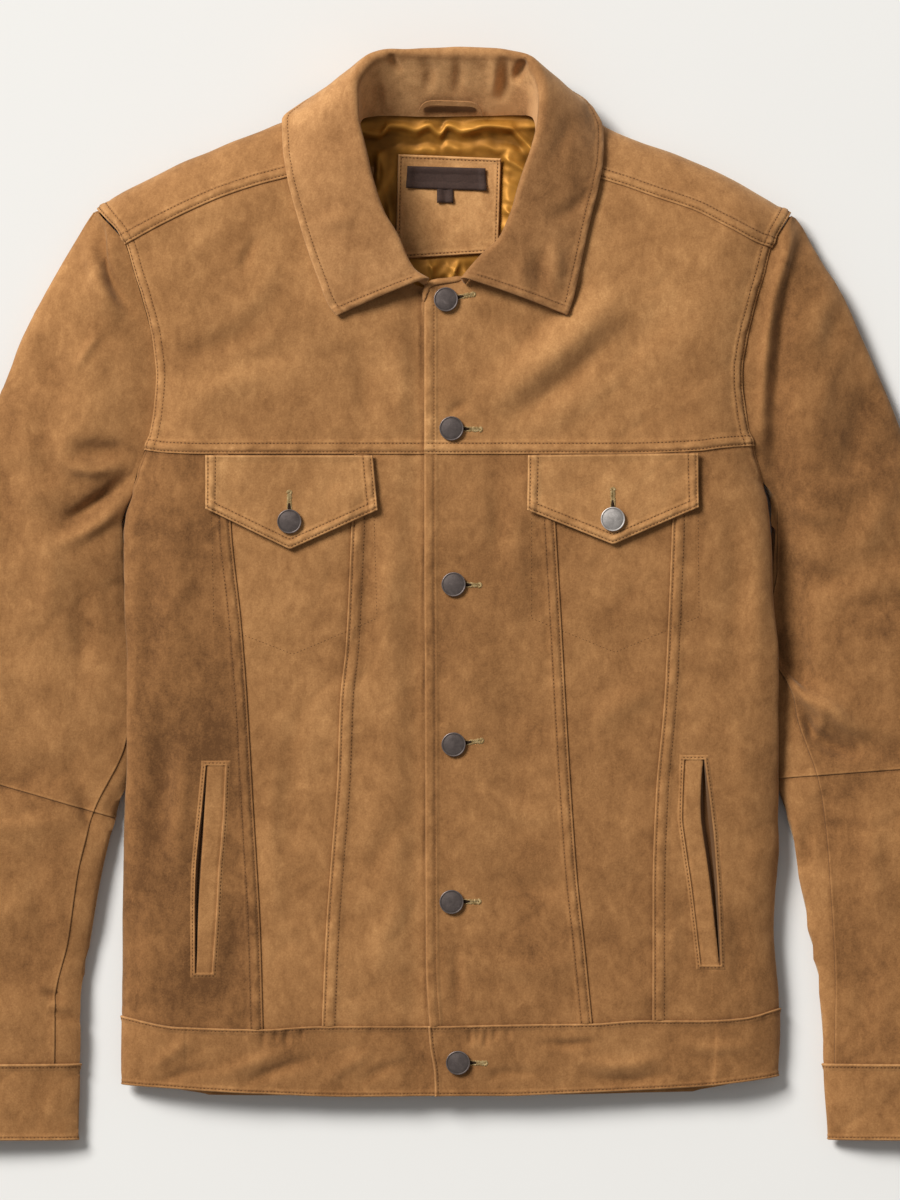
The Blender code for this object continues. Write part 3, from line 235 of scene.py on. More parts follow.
# A button's profile from its middle over the rim to its foot: share of the radius, height and tone, which is
# rubbed pale on the rim, darker in the groove, and painted dark under the rim and on the foot as painted
# shade
BUTTON_PROFILE = ((0.0, 3.2, 0.1), (0.15, 3.18, 0.1), (0.30, 3.12, 0.1), (0.45, 3.03, 0.08),
                  (0.60, 2.91, 0.05), (0.76, 2.75, 0.0), (0.83, 2.66, -0.3), (0.87, 2.60, -0.7),
                  (0.905, 2.72, -0.2), (0.945, 2.84, 0.5), (0.985, 2.74, 0.6), (1, 2.46, 0.1),
                  (0.985, 2.1, -0.3), (0.93, 1.8, -0.5), (0.80, 1.5, -0.7), (0.62, 1.2, -0.8),
                  (0.55, 0.2, -0.8), (0.0, 0.2, -0.8))
BUTTON_SIDES = 56
BUTTON_SUNK = 0.2     # below the highest cloth under its rim
SLIT_OPEN = 14.0      # a buttonhole gapes beside its button, up to here from the button's middle
SLIT_HALF, SLIT_GAPE = 0.35, 0.8        # its half width where it is shut, and what the gap adds
SLIT_CLOSING = 4.5    # the stretch over which it shuts
EYE_LONG, EYE_HALF, EYE_THREADS = 2.2, 0.75, 9      # the round end, and the threads that fan out there
WHIP_PITCH, WHIP_REACH = 0.66, 1.85     # the threads on its two sides: their spacing and their reach

# Rows of stitching, as distances from the seam or edge they follow
SEAM_ROWS = {"arm": (2.0, 7.6), "chest": (1.7, 7.7), "shoulder": (2.0, 7.6), "hem_top": (1.8,),
             "hem_edge": (2.1,), "cuff_top": (2.4,), "cuff_edge": (2.1,), "collar": (5.4,), "patch": (2.2,),
             "flap": (1.9, 7.0), "L_out": (1.9, 8.4), "L_in": (2.0, 9.0), "R_in": (2.0, 7.7),
             "R_out": (2.0, 8.4), "placket": (6.8,), "hem_end": (2.4,)}
# How far the doubled cloth of each kind of seam or edge stands up, and how round its rim is
SEAM_THICK = {"lap": 1.05, "rim": 0.8, "placket": 0.9, "plain": 0.25, "free": 0.0}
RIM_RADIUS = {"lap": 1.1, "plain": 1.1}
UNDER, PLAIN, FREE, NONE = ("under",), ("plain",), ("free",), ("none",)     # edges without rows
HEM_LAP = 26.0        # the left hem's rows stop short of its hidden end
NECK_HALF = 58.0      # the shoulder's rows stop at the collar
THREAD_SIDES = 5
# A stitch from end to end: share of its length, of its radius, and how far it dips into the cloth
THREAD_RINGS = ((0.0, 0.45, -0.22), (0.2, 1.0, 0.0), (0.8, 1.0, 0.0), (1.0, 0.45, -0.22))
# Grid lines beside a seam, as distances from it, and the steps of a wall's coarser inner face
NEAR = (0.2, 0.5, 0.9, 1.4, 2.0, 2.7, 3.6, 4.6, 5.7, 6.7, 7.5, 8.3, 9.2, 10.4, 12.0)
INNER_STRIDE = 3
# The hand pockets' windows in the fronts, and the lip inside each that leaves a slit beside it
WINDOWS = {"L": dict(y=(-264.5, -221.3, -193.3, -169.8, -151.3, -119.2),
                     left=(-178.5, -178.5, -177.8, -175.8, -173.7, -170.6),
                     right=(-167.0, -163.9, -162.4, -160.3, -158.9, -157.5),
                     lip_left=(-177.8, -176.6, -174.9, -173.3, -172.3, -170.0),
                     lip_right=(-166.8, -163.7, -162.2, -160.1, -158.7, -157.3)),
           "R": dict(y=(-258.7, -206.2, -180.3, -167.7, -155.8, -145.3, -115.2),
                     left=(176.2, 170.1, 166.3, 164.5, 163.2, 163.4, 164.5),
                     right=(189.4, 187.2, 185.4, 184.5, 183.1, 181.9, 177.9),
                     lip_left=(176.0, 169.9, 166.1, 164.3, 163.0, 163.2, 164.3),
                     lip_right=(188.7, 183.2, 179.7, 177.8, 176.2, 175.9, 177.1))}
# The placket's turned edge at the neck: its path in plan, and its half width and half height
NECK_FOLD = ((-18.4, 196), (-18.2, 204), (-17.6, 211), (-15.8, 216), (-12.6, 218.6), (-8, 219.6), (-1, 220.4),
             (6, 221.6), (9.6, 222.6))
NECK_FOLD_SIZE = (2.0, 1.3)
WELT_BAND = 4.4       # of hide round the window, with a row of stitches in it
FRAME_ROW = 2.0
WINDOW_SLIT = 4.5     # how deep the slit beside the lip is
WINDOW_DEPTH = 6.0    # how far the side panel sinks behind it
WELT_SHARES = (0.0, 0.24, 0.38, 0.62, 0.76, 1.0)     # of its mesh: band, slit, lip, slit, band
POCKET_BAGS = (((-166.9, 56), (-165.4, -19.3), (-109.9, -41), (-51.1, -15.8), (-53.2, 56)),
               ((57.1, 55), (57.1, -15.8), (115.5, -39.6), (174.3, -14.7), (173.6, 57)))

DEEPEST = 0.42        # no dent takes more than this share of the height
RUB_AND_SHADE_BY_HEIGHT = 0.13     # ridges are painted pale, as rubbed nap and painted highlight, and dents are painted dark as painted shade, by this much a millimetre
PLACKET_SHADOW_PIECES = ("hide_front_yoke_L", "hide_front_centre_L")      # painted dark along the placket's edge, as the right front's painted shadow
# Each piece painted paler or darker as a whole, on the scale of its tone values: painted broad shade and
# light across the jacket, with the label patch and the loop painted pale against the dim neck
PIECE_SHADING = {"front_yoke_R": 0.1, "front_side_L": -0.83, "front_side_R": -0.27, "front_vee_R": -0.39,
               "front_centre_L": 0.05, "front_centre_R": -0.46, "hem_front_L": -0.39, "hem_front_R": -0.39,
               "hem_back": -0.2, "sleeve_upper_L": -0.2, "sleeve_upper_R": -0.42, "sleeve_lower_L": -0.3,
               "sleeve_lower_R": -0.5, "cuff_L": -0.1, "cuff_R": -0.15, "flap_L": 0.05, "flap_R": 0.1,
               "label_patch": 0.75, "hanger_loop": 0.5}

# Creases in plan: half width, height, how much wider the right-hand flank is, then the path
BODY_CREASES = [
    (9, 1.9, 1.5, (122, 216), (72, 167), (22, 130)), (7, -1.3, 1, (126, 192), (84, 152), (38, 119)),
    (9, 1.1, 1.4, (130, 168), (90, 134), (52, 110)), (6, -1.0, 1, (104, 230), (64, 190), (34, 164)),
    (3.2, -1.0, 1, (-3, 125), (4, 131), (14, 135)), (8, -0.8, 1, (12, 203), (40, 190), (70, 196)),
    (8, -1.8, 1.4, (-200, -92), (-203, -140), (-207, -192)),
    (7, 1.1, 1, (-186, -100), (-190, -150), (-193, -205)),
    (4, -1.0, 1, (-133, 254), (-141, 240), (-146, 224)), (9, 0.9, 1, (-120, 240), (-132, 214), (-150, 196)),
    (9, -1.1, 1, (-196, 168), (-160, 176), (-120, 200)), (10, 0.9, 1, (-190, 132), (-150, 150), (-96, 160)),
    (8, -0.9, 1, (-70, 178), (-60, 150), (-58, 118)), (8, 0.8, 1, (-40, 180), (-34, 150), (-32, 112)),
    (9, -0.9, 1, (-60, 88), (-58, 20), (-66, -60)), (8, 0.9, 1, (-38, 60), (-44, 0), (-42, -70)),
    (9, 0.9, 1, (-196, 60), (-190, 10), (-196, -50)), (7, -1.1, 1, (-214, 40), (-210, -10), (-213, -80)),
    (7, -1.1, 1, (28, 90), (34, 60), (32, 20)), (8, 0.8, 1, (50, 84), (46, 30), (50, -30)),
    (9, -0.9, 1, (196, 80), (200, 20), (198, -60)), (7, 0.8, 1, (214, 60), (216, 0), (214, -60)),
    (9, 0.9, 1, (192, -60), (204, -110), (206, -170)), (8, 0.8, 1, (150, -60), (120, -76), (96, -90)),
    (9, -0.8, 1, (24, -60), (46, -84), (78, -98)), (8, 0.8, 1, (20, -130), (44, -150), (80, -158)),
    (8, -0.8, 1, (30, -196), (60, -206), (92, -200)), (7, 0.7, 1, (16, -250), (50, -262), (92, -256)),
    (3.4, -0.9, 1, (3, -240), (5, -268), (4, -296)), (8, -0.9, 1, (-26, -150), (-48, -176), (-58, -212)),
    (8, 0.8, 1, (-22, -206), (-44, -232), (-50, -276)),
    (8, -0.7, 1, (-100, -60), (-112, -120), (-108, -180)),
    (7, 0.7, 1, (-122, -110), (-126, -170), (-120, -240)),
    (6, -0.8, 1, (-154, -204), (-150, -236), (-154, -280)),
    (7, 0.8, 1, (-214, -210), (-212, -250), (-216, -290)),
    (7, -0.9, 1, (196, -216), (204, -250), (202, -286)), (6, 0.7, 1, (150, -190), (156, -230), (152, -276)),
    (1.7, -0.75, 1, (14, -303), (14.5, -309), (14, -316)),
    (1.5, -0.6, 1, (19, -303), (20, -308), (20, -314)), (1.8, -0.8, 1, (25, -303), (25.5, -309), (25, -318)),
    (1.6, -0.6, 1, (32, -303), (31.5, -308), (32, -313)), (1.7, -0.5, 1, (41, -303), (41, -308), (42, -312)),
    (1.8, -0.7, 1, (-130, -304), (-131, -310), (-130, -317)),
    (1.6, -0.6, 1, (-122, -304), (-122, -309), (-123, -314)),
    (1.9, -0.8, 1, (-114, -303), (-115, -310), (-114, -319)),
    (1.7, -0.6, 1, (-104, -303), (-104, -308), (-105, -313)),
    (3.0, -0.9, 1, (60, -314), (82, -315), (104, -313)),
    (4.5, 0.8, 1.4, (-174, -341), (-140, -328), (-104, -315)),
    (4, -0.9, 1, (-150, -345), (-116, -331), (-84, -322)),
    (5, 0.7, 1, (-215, -333), (-196, -322), (-180, -308)),
    (4, -0.7, 1, (-212, -345), (-188, -336), (-166, -330)),
    (5, 0.7, 1, (-90, -342), (-72, -330), (-52, -318)), (4, -0.6, 1, (-66, -344), (-46, -332), (-26, -326)),
    (5, 0.8, 1, (84, -326), (118, -330), (152, -324)), (4, -0.8, 1, (92, -338), (124, -341), (160, -335)),
    (4.5, 0.7, 1, (160, -312), (184, -318), (214, -316)), (4, -0.6, 1, (20, -340), (44, -334), (70, -338))]
SLEEVE_CREASES = [
    (6.5, -3.0, 1.2, (-270, 107), (-254, 102), (-240, 101), (-224, 106)),
    (4.5, 1.7, 1, (-274, 92), (-250, 88), (-228, 92)),
    (5, -3.3, 1.3, (-276, 48), (-256, 60), (-238, 73), (-222, 88)),
    (5, 1.9, 1, (-278, 36), (-254, 46), (-230, 64)), (9, -1.7, 1, (-300, 118), (-284, 100), (-276, 78)),
    (8, -1.5, 1, (-287, 182), (-280, 160), (-268, 136)),
    (3.2, 1.2, 1, (-262, 158), (-254, 172), (-245, 184)),
    (3.4, -3.2, 1.6, (-246.5, 267), (-245, 245), (-238, 226), (-229, 210), (-219, 196)),
    (5, 1.3, 1, (-254, 254), (-250, 228), (-241, 208), (-230, 192)),
    (10, 1.3, 1, (-310, 150), (-296, 120), (-292, 84)), (10, -1.3, 1, (-326, 96), (-312, 62), (-308, 20)),
    (9, 1.0, 1, (-296, 60), (-280, 20), (-284, -24)), (8, -1.3, 1, (-262, 20), (-256, -20), (-262, -66)),
    (9, 0.9, 1, (-340, -20), (-318, -60), (-308, -104)),
    (7, -1.2, 1, (-366, -130), (-330, -136), (-280, -128)),
    (8, 1.0, 1, (-350, -152), (-310, -162), (-264, -158)),
    (5, -1.6, 1, (-268, -130), (-256, -150), (-248, -176)),
    (7, -1.1, 1, (-300, -200), (-286, -224), (-282, -256)),
    (2.8, -1.4, 1, (-288, -277), (-280, -281), (-270, -285)),
    (2.8, -1.3, 1, (-283, -292), (-270, -296), (-258, -299)),
    (8, 0.9, 1, (-340, -230), (-330, -262), (-332, -300)),
    (13, -4.0, 0.7, (228, 150), (229, 90), (232, 40), (234, -10), (236, -60), (243, -118)),
    (10, -3.4, 0.45, (252, 264), (243, 238), (234, 206), (229, 166), (227, 128), (229, 84)),
    (8, -1.9, 0.8, (244, 34), (243, 0), (245, -30), (252, -62)),
    (3.4, -2.4, 1, (247, -84), (252, -91), (254, -101)), (3.2, 1.4, 1, (258, -78), (262, -86), (258, -96)),
    (3.6, 1.3, 1, (243, 258), (234, 232), (226, 202), (221, 164), (219, 130), (220, 100)),
    (9, 1.5, 1, (268, 232), (262, 206), (256, 176), (254, 146)),
    (9, -1.4, 1, (300, 150), (286, 120), (280, 80)), (10, 1.3, 1, (322, 90), (300, 60), (286, 20)),
    (8, 1.0, 1, (278, 180), (262, 140), (256, 100)), (9, -1.2, 1, (340, 10), (310, -6), (272, -8)),
    (7, -3.4, 0.6, (230, -24), (238, -44), (254, -68)),
    (3.6, 2.9, 1.8, (232, -52), (250, -71), (268, -79), (282, -92), (296, -98)),
    (5.5, -3.2, 1, (250, -94), (266, -105), (290, -112)),
    (6, -1.2, 1, (300, -100), (316, -112), (322, -126)), (6, -1.0, 1, (262, -122), (262, -160), (270, -200)),
    (8, 1.0, 1, (300, -140), (296, -180), (304, -230)), (9, -0.9, 1, (340, -130), (344, -190), (352, -250)),
    (5, -1.4, 1, (256, -150), (250, -176), (254, -196)), (6, -1.5, 1.4, (244, 30), (262, 14), (286, 8)),
    (6, 1.3, 1, (240, 66), (256, 56), (276, 52)), (7, -0.9, 1, (286, -240), (292, -280), (290, -316))]
COLLAR_CREASES = [
    (4.5, -1.3, 1, (60, 242), (63, 224), (66, 210)), (5, 1.0, 1, (72, 250), (74, 232), (76, 214)),
    (4, 0.9, 1, (48, 236), (50, 220), (53, 208)), (6, -0.9, 1, (98, 286), (84, 268), (66, 262)),
    (6, -0.6, 1, (-72, 230), (-66, 218), (-60, 208)), (6, 0.6, 1, (-86, 270), (-80, 262), (-66, 262)),
    (6, -0.7, 1, (-88, 340), (-80, 326), (-72, 306)), (6, -0.7, 1, (86, 336), (78, 318), (70, 298)),
    (3.6, -1.0, 1, (5, 380), (6, 366), (5, 350)), (3.6, -1.4, 1, (38, 378), (38.5, 362), (36, 346)),
    (3.6, 0.9, 1, (30, 378), (31, 364), (29, 350)), (3.2, -2.2, 1, (53, 376), (49, 368), (45, 358)),
    (2.4, -1.2, 1, (-41, 380), (-39, 373), (-34, 366)), (4, -0.9, 1, (-20, 376), (-14, 366), (-16, 352)),
    (4, -1.2, 1, (-52, 362), (-50, 350), (-50, 340))]
FLAP_CREASES = [
    (5, 0.4, 1, (-150, 84), (-144, 66), (-140, 54)), (6, -0.4, 1, (-84, 84), (-88, 68), (-86, 54)),
    (6, -0.4, 1, (80, 86), (84, 68), (82, 54)), (5, 0.4, 1, (150, 86), (146, 70), (150, 56))]

# What each piece lies on; both sides' names where the lower piece has sides too
RESTS = {"front_side": "back_panel", "front_vee": "back_panel", "front_centre": "back_panel",
         "front_yoke": "back_yoke", "hem_front": "hem_back", "sleeve_upper": "sleeve_upper_under",
         "sleeve_lower": "sleeve_lower_under", "collar": "back_yoke", "lining_back": "back_yoke",
         "label_patch": "lining_back", "woven_label": "label_patch", "size_tag": "label_patch",
         "hanger_loop": "collar", "flap": "front_centre", "welt": "front_side"}

SUEDE_COLOUR = (0.316, 0.147, 0.050)
COLLAR_COLOUR = (0.330, 0.156, 0.056)
FLOOR_COLOUR = (0.752, 0.742, 0.720)
SHADE_COLOURS = (0.018, 0.010, 0.006), (0.035, 0.019, 0.010)
METAL_COLOUR = (0.150, 0.120, 0.110)
RUBBED_COLOUR = (0.47, 0.43, 0.40)
BROWN_THREAD = (0.100, 0.042, 0.013), (0.165, 0.076, 0.026)
GOLD_THREAD = (0.28, 0.18, 0.065), (0.56, 0.41, 0.20)
# The studio, in metres
FLOOR_HALF, FLOOR_DROP = 6.0, 0.0006
CAMERA_HEIGHT = 5.0
SENSOR = 36.0         # its height in millimetres
FRAME_HALF, CLOTH_LEVEL = 0.42, 0.035   # the picture reaches this far up and down at the cloth's level
LAMP_PLACE, LAMP_SIZE = (-10.0, 9.6, 12.0), 6.8
LAMP_WATTS, LAMP_COLOUR = 4640.0, (1.0, 0.992, 0.975)
WORLD_COLOUR = (1.0, 0.99, 0.975)
WORLD_STRENGTH = 0.27
PANELS = {}           # the finished grid of each piece, by name
STITCHES = {}         # the threads still to be made, by group


# ---------------------------------------------------------------- curves and surfaces
def smooth(t, knots, values):
    """Read a table as a smooth curve that doesn't overshoot its values."""
    knots, values = np.asarray(knots, float), np.asarray(values, float)
    step = np.diff(knots)
    slope = np.diff(values) / step
    before, after = slope[:-1], slope[1:]
    rate = np.concatenate([slope[:1], np.zeros(len(before)), slope[-1:]])
    same = before * after > 0
    rate[1:-1][same] = 2 * before[same] * after[same] / (before[same] + after[same])
    t = np.clip(t, knots[0], knots[-1])
    i = np.clip(np.searchsorted(knots, t, side="right") - 1, 0, len(knots) - 2)
    f = (t - knots[i]) / step[i]
    return (values[i] * (1 + 2 * f) * (1 - f) ** 2 + rate[i] * step[i] * f * (1 - f) ** 2
            + values[i + 1] * f * f * (3 - 2 * f) - rate[i + 1] * step[i] * f * f * (1 - f))


def look(table, t, key="x", by="y"):
    """Read a table's `key` at the place `t` of its `by`."""
    return smooth(t, table[by], table[key])


def mix(a, b, t):
    """From a at 0 to b at 1."""
    return a + (b - a) * t


def ease(t):
    """From 0 to 1 with a soft start and end."""
    t = np.clip(t, 0, 1)
    return t * t * (3 - 2 * t)


def dome(t, power=2.0):
    """Rises from 0, where it is upright, to 1, where it is level."""
    return (1 - (1 - np.clip(t, 0, 1)) ** power) ** (1 / power)


def fold_sum(x, y, folds):
    """Height added by a table of straight folds with soft ends."""
    total = np.zeros(np.broadcast(x, y).shape)
    for wide, high, (x0, y0), (x1, y1) in folds:
        length = math.hypot(x1 - x0, y1 - y0)
        ux, uy = (x1 - x0) / length, (y1 - y0) / length
        along = ((x - x0) * ux + (y - y0) * uy) / length
        across = ((y - y0) * ux - (x - x0) * uy) / wide
        ends = ease(np.clip(along + 0.15, 0, 1) / 0.45) * ease(np.clip(1.15 - along, 0, 1) / 0.45)
        total = total + high * np.exp(-across ** 2) * ends
    return total


def edge_x(side, y):
    """The body's left or right edge."""
    return look(EDGE_L if side == "L" else EDGE_R, y)


def side_angle(side, y):
    """Angle round the side fold, in degrees, where the front ends: at its side seam or armhole."""
    return look(SIDE_TURN, y - UNDERARM[side], "angle")


def front_fold_x(side, y):
    """The edge of the front, which ends before the fold where the side is turned under."""
    inward = 1 if side == "L" else -1
    above = np.radians(np.clip(side_angle(side, y), 0, 90))
    return edge_x(side, y) - inward * SIDE_ROLL * (1 - np.cos(above))


def to_shoulder(x, y):
    """Distance in from the shoulder fold."""
    return SHOULDER_SLOPE * (look(SHOULDER, x, "y", "x") - y)


def front_z(x, y, under=False):
    """Height of the front's outer face; `under` is the left front's, which runs below the right's."""
    crown = look(CROWN, y, "z") + fold_sum(x, y, BODY_FOLDS)
    fold = look(FOLD, y, "z")
    left = 1 - dome((x - front_fold_x("L", y)) / SIDE_ROLL)
    right = 1 - dome((front_fold_x("R", y) - x) / SIDE_ROLL)
    z = crown - (crown - fold) * (left + right)
    shoulder = dome(to_shoulder(x, y) / SHOULDER_ROLL)
    z = SHOULDER_HEIGHT + (z - SHOULDER_HEIGHT) * shoulder
    if under:
        z = z - LAP_DROP * ease((x - LAP_START) / LAP_SOFT)
    return z


def front_side(side, y, angle):
    """Point round the side fold: 90 where the roll starts on the front, 0 at the fold, -90 below."""
    inward = 1 if side == "L" else -1
    top = np.radians(np.clip(angle, 0, 90))
    low = np.radians(np.clip(-angle, 0, 90))
    x_top = front_fold_x(side, y) + inward * SIDE_ROLL * (1 - np.cos(top))
    crown = look(CROWN, y, "z") + fold_sum(x_top, y, BODY_FOLDS)
    fold = look(FOLD, y, "z")
    z_top = fold + (crown - fold) * np.sin(top)
    x_low = edge_x(side, y) + inward * UNDER_ROLL * (1 - np.cos(low) ** UNDER_SHAPE)
    z_low = fold * (1 - np.sin(low) ** UNDER_SHAPE)
    return np.where(angle >= 0, x_top, x_low), np.where(angle >= 0, z_top, z_low)


def back_lift(side, y):
    """How high the back panel's side edge is: at the side seam, or on the floor up the armhole."""
    return look(FOLD, y, "z") * ease(1 - (y - UNDERARM[side]) / BACK_DOWN)


def sleeve_row(side, row):
    """Outer and inner ends of a sleeve's row, in plan."""
    table = SLEEVE[side]
    rows = np.arange(len(SLEEVE_TOP))
    ox, oy = smooth(row, rows, table["out_x"]), smooth(row, rows, table["out_y"])
    iy = smooth(row, rows, table["in_y"])
    low = rows >= UNDERARM_ROW
    fold_x = smooth(row, rows[low], np.asarray(table["in_x"], float)[low])
    ix = np.where(row <= UNDERARM_ROW, edge_x(side, iy), fold_x)
    return ox, oy, ix, iy


def sleeve_point(side, row, share, top=True):
    """Point on the sleeve, `share` of its width from the outer fold."""
    rows = np.arange(len(SLEEVE_TOP))
    ox, oy, ix, iy = sleeve_row(side, row)
    width = np.hypot(ix - ox, iy - oy)
    x, y = mix(ox, ix, share), mix(oy, iy, share)
    out_z = smooth(row, rows, SLEEVE_OUT)
    low = rows >= UNDERARM_ROW
    heights = np.asarray(SLEEVE_IN, float)[low]
    heights[0] = look(FOLD, UNDERARM[side], "z")
    fold_z = smooth(row, rows[low], heights)
    if top:
        in_z = np.where(row <= UNDERARM_ROW, front_z(ix, iy), fold_z)
        rise = smooth(row, rows, SLEEVE_TOP) - (out_z + in_z) / 2
        tube = ease((row - UNDERARM_ROW + 1.2) / 2.2)
        outer = dome(2 * share, 2.2)
        inner = mix(1 - ease(2 * share - 1), dome(2 - 2 * share, 1.9), tube)
        bump = np.where(share < 0.5, outer, inner)
        inside = np.clip(np.minimum(share, 1 - share) * width / SLEEVE_SOFT, 0, 1)
        z = mix(out_z, in_z, ease(share)) + rise * bump + fold_sum(x, y, SLEEVE_FOLDS[side]) * inside
    else:
        in_z = np.where(row <= UNDERARM_ROW, back_lift(side, iy), fold_z)
        z = (out_z * (1 - dome(share * width / SLEEVE_UNDER))
             + in_z * (1 - dome((1 - share) * width / SLEEVE_UNDER)))
    return x, y, z


def collar_point(s, t):
    """Point of the collar's outer face: s runs from the neck seam over the roll to the edge."""
    necks, rolls, edges = zip(*COLLAR)
    edges = [(x, y, z or float(front_z(x, y)) + COLLAR_WALL + LEAF_LIFT) for x, y, z in edges]
    neck, roll, edge = (np.stack([smooth(t, np.arange(len(line)), values) for values in zip(*line)], -1)
                        for line in (necks, rolls, edges))

    def unit(v):
        return v / np.linalg.norm(v, axis=-1, keepdims=True)

    def across(v, w):
        return unit(-(v - (v * w).sum(-1, keepdims=True) * w))

    a, b = unit(neck - roll), unit(edge - roll)
    crest = -unit(a + b)
    centre = roll - ROLL_RADIUS * crest
    a, b = unit(neck - centre), unit(edge - centre)
    start, end = across(b, a), across(a, b)
    s = s[..., None]
    stand = mix(neck, centre + ROLL_RADIUS * start, np.clip(s / STAND_END, 0, 1))
    f = np.clip((s - STAND_END) / (TURN_END - STAND_END), 0, 1)
    way = np.where(f < 0.5, mix(start, crest, 2 * f), mix(crest, end, 2 * f - 1))
    turn = centre + ROLL_RADIUS * unit(way)
    g = np.clip((s - TURN_END) / (1 - TURN_END), 0, 1)
    leaf = mix(centre + ROLL_RADIUS * end, edge, g) + end * LEAF_BULGE * np.sin(math.pi * g)
    return np.where(s < STAND_END, stand, np.where(s < TURN_END, turn, leaf))


def as_points(p):
    """The x, y and z that a surface gives, as one array of points."""
    return np.stack(np.broadcast_arrays(*p), -1) if isinstance(p, tuple) else p


def run_of(line):
    """Distance along a line from its first point, at each of its points."""
    return np.concatenate([[0], np.cumsum(np.linalg.norm(np.diff(line, axis=0), axis=1))])


def surface(point, us, vs):
    """Points and outward normals of point(u, v) over a grid."""
    u, v = np.meshgrid(us, vs, indexing="ij")
    d = 1e-3

    def at(a, b):
        return as_points(point(np.clip(a, us[0], us[-1]), np.clip(b, vs[0], vs[-1])))

    normal = np.cross(at(u + d, v) - at(u - d, v), at(u, v + d) - at(u, v - d))
    return at(u, v), normal / np.linalg.norm(normal, axis=-1, keepdims=True)


def level(table, side, v):
    """Read a table of shared heights by row number."""
    values = table[side]
    return np.interp(v, np.arange(len(values)), values)


def chest_y(x):
    """Height of the seam below the yoke."""
    return look(CHEST, x, "y", "x")


def hem_seam_y(x):
    """Height of the seam above the hem band."""
    return look(HEM_SEAM, x, "y", "x")


def hem_y(x):
    """Height of the jacket's lower edge."""
    return look(HEM, x, "y", "x")


def front_edge(side):
    """Free front edge: the right front's shows, and the left front runs on below it."""
    return lambda y: look(PLACKET, y) + (OVERLAP if side == "L" else 0)


def between(x_low, x_high, under=False):
    """Patch of the front between two upright seams, from the hem seam to the chest seam."""
    def point(u, v):
        y = mix(*BODY_SPAN, v)      # a first guess, which three rounds make exact
        for _ in range(3):
            x = mix(x_low(y), x_high(y), u)
            y = mix(hem_seam_y(x), chest_y(x), v)
        return x, y, front_z(x, y, under)
    return point


def front_side_point(side, seam_x):
    """Patch from the outer upright seam out and round the fold to the side seam or armhole."""
    inward = 1 if side == "L" else -1
    low_y, high_y = SIDE_LEVELS[side][0], SIDE_LEVELS[side][-1]

    def point(u, v):
        y_edge = level(SIDE_LEVELS, side, v)
        share = (y_edge - low_y) / (high_y - low_y)
        flat, y = u <= SIDE_FLAT, y_edge
        for _ in range(3):
            angle = mix(90, side_angle(side, y_edge), np.clip((u - SIDE_FLAT) / (1 - SIDE_FLAT), 0, 1))
            x_roll, z_roll = front_side(side, y, angle)
            roll_x = front_fold_x(side, y) + inward * SIDE_ROLL
            x_flat = mix(seam_x(y), roll_x, np.clip(u / SIDE_FLAT, 0, 1))
            x = np.where(flat, x_flat, x_roll)
            y = np.where(u < 1, mix(hem_seam_y(x), chest_y(x), share), y_edge)
        return x, y, np.where(flat, front_z(x_flat, y), front_side(side, y, angle)[1])
    return point


def front_yoke_point(side):
    """Chest yoke: chest seam, armhole, shoulder seam, then the neckline and the front edge."""
    neck = NECK_L if side == "L" else NECK_R
    front_x = float(front_edge(side)(PLACKET_CORNER))
    rows, corner = SHOULDER_LEVEL, 5.0
    arm = ARM_LEVELS[side]
    outer = [(float(edge_x(side, arm[k])), arm[k]) for k in (0, rows)]
    inner = [(front_x, float(chest_y(front_x))), (neck["x"][-1], neck["y"][-1])]

    def point(u, v):
        arm_y = level(ARM_LEVELS, side, v)
        share = v / rows
        rise, t = v / corner, np.clip((v - corner) / (rows - corner), 0, 1)
        in_x = np.where(v < corner, mix(front_x, neck["x"][0], rise), smooth(t, neck["t"], neck["x"]))
        in_y = np.where(v < corner, mix(inner[0][1], neck["y"][0], rise), smooth(t, neck["t"], neck["y"]))
        low_x, top_x = mix(outer[0][0], front_x, u), mix(outer[1][0], inner[1][0], u)
        low_y, top_y = chest_y(low_x), look(SHOULDER_SEAM, top_x, "y", "x")
        x = mix(edge_x(side, arm_y), in_x, u)
        y = mix(arm_y, in_y, u) + mix(low_y, top_y, share) - mix(
            mix(outer[0][1], inner[0][1], u), mix(outer[1][1], inner[1][1], u), share)
        return x, y, front_z(x, y, side == "L")
    return point


def hem_point(side):
    """Hem band of one front, from its side seam to the front edge."""
    inward = 1 if side == "L" else -1
    top, low = SIDE_LEVELS[side][0], float(hem_y(edge_x(side, -345.0)))

    def point(u, v):
        y_edge = mix(low, top, v)
        angle = mix(side_angle(side, y_edge), 90.0, np.clip(u / HEM_ROUND, 0, 1))
        x_roll, z_roll = front_side(side, y_edge, angle)
        start = front_fold_x(side, y_edge) + inward * SIDE_ROLL
        x_flat = mix(start, front_edge(side)(y_edge), np.clip((u - HEM_ROUND) / (1 - HEM_ROUND), 0, 1))
        x = np.where(u < HEM_ROUND, x_roll, x_flat)
        y = mix(hem_y(x), hem_seam_y(x), v)
        return x, y, np.where(u < HEM_ROUND, z_roll, front_z(x, y, side == "L"))
    return point


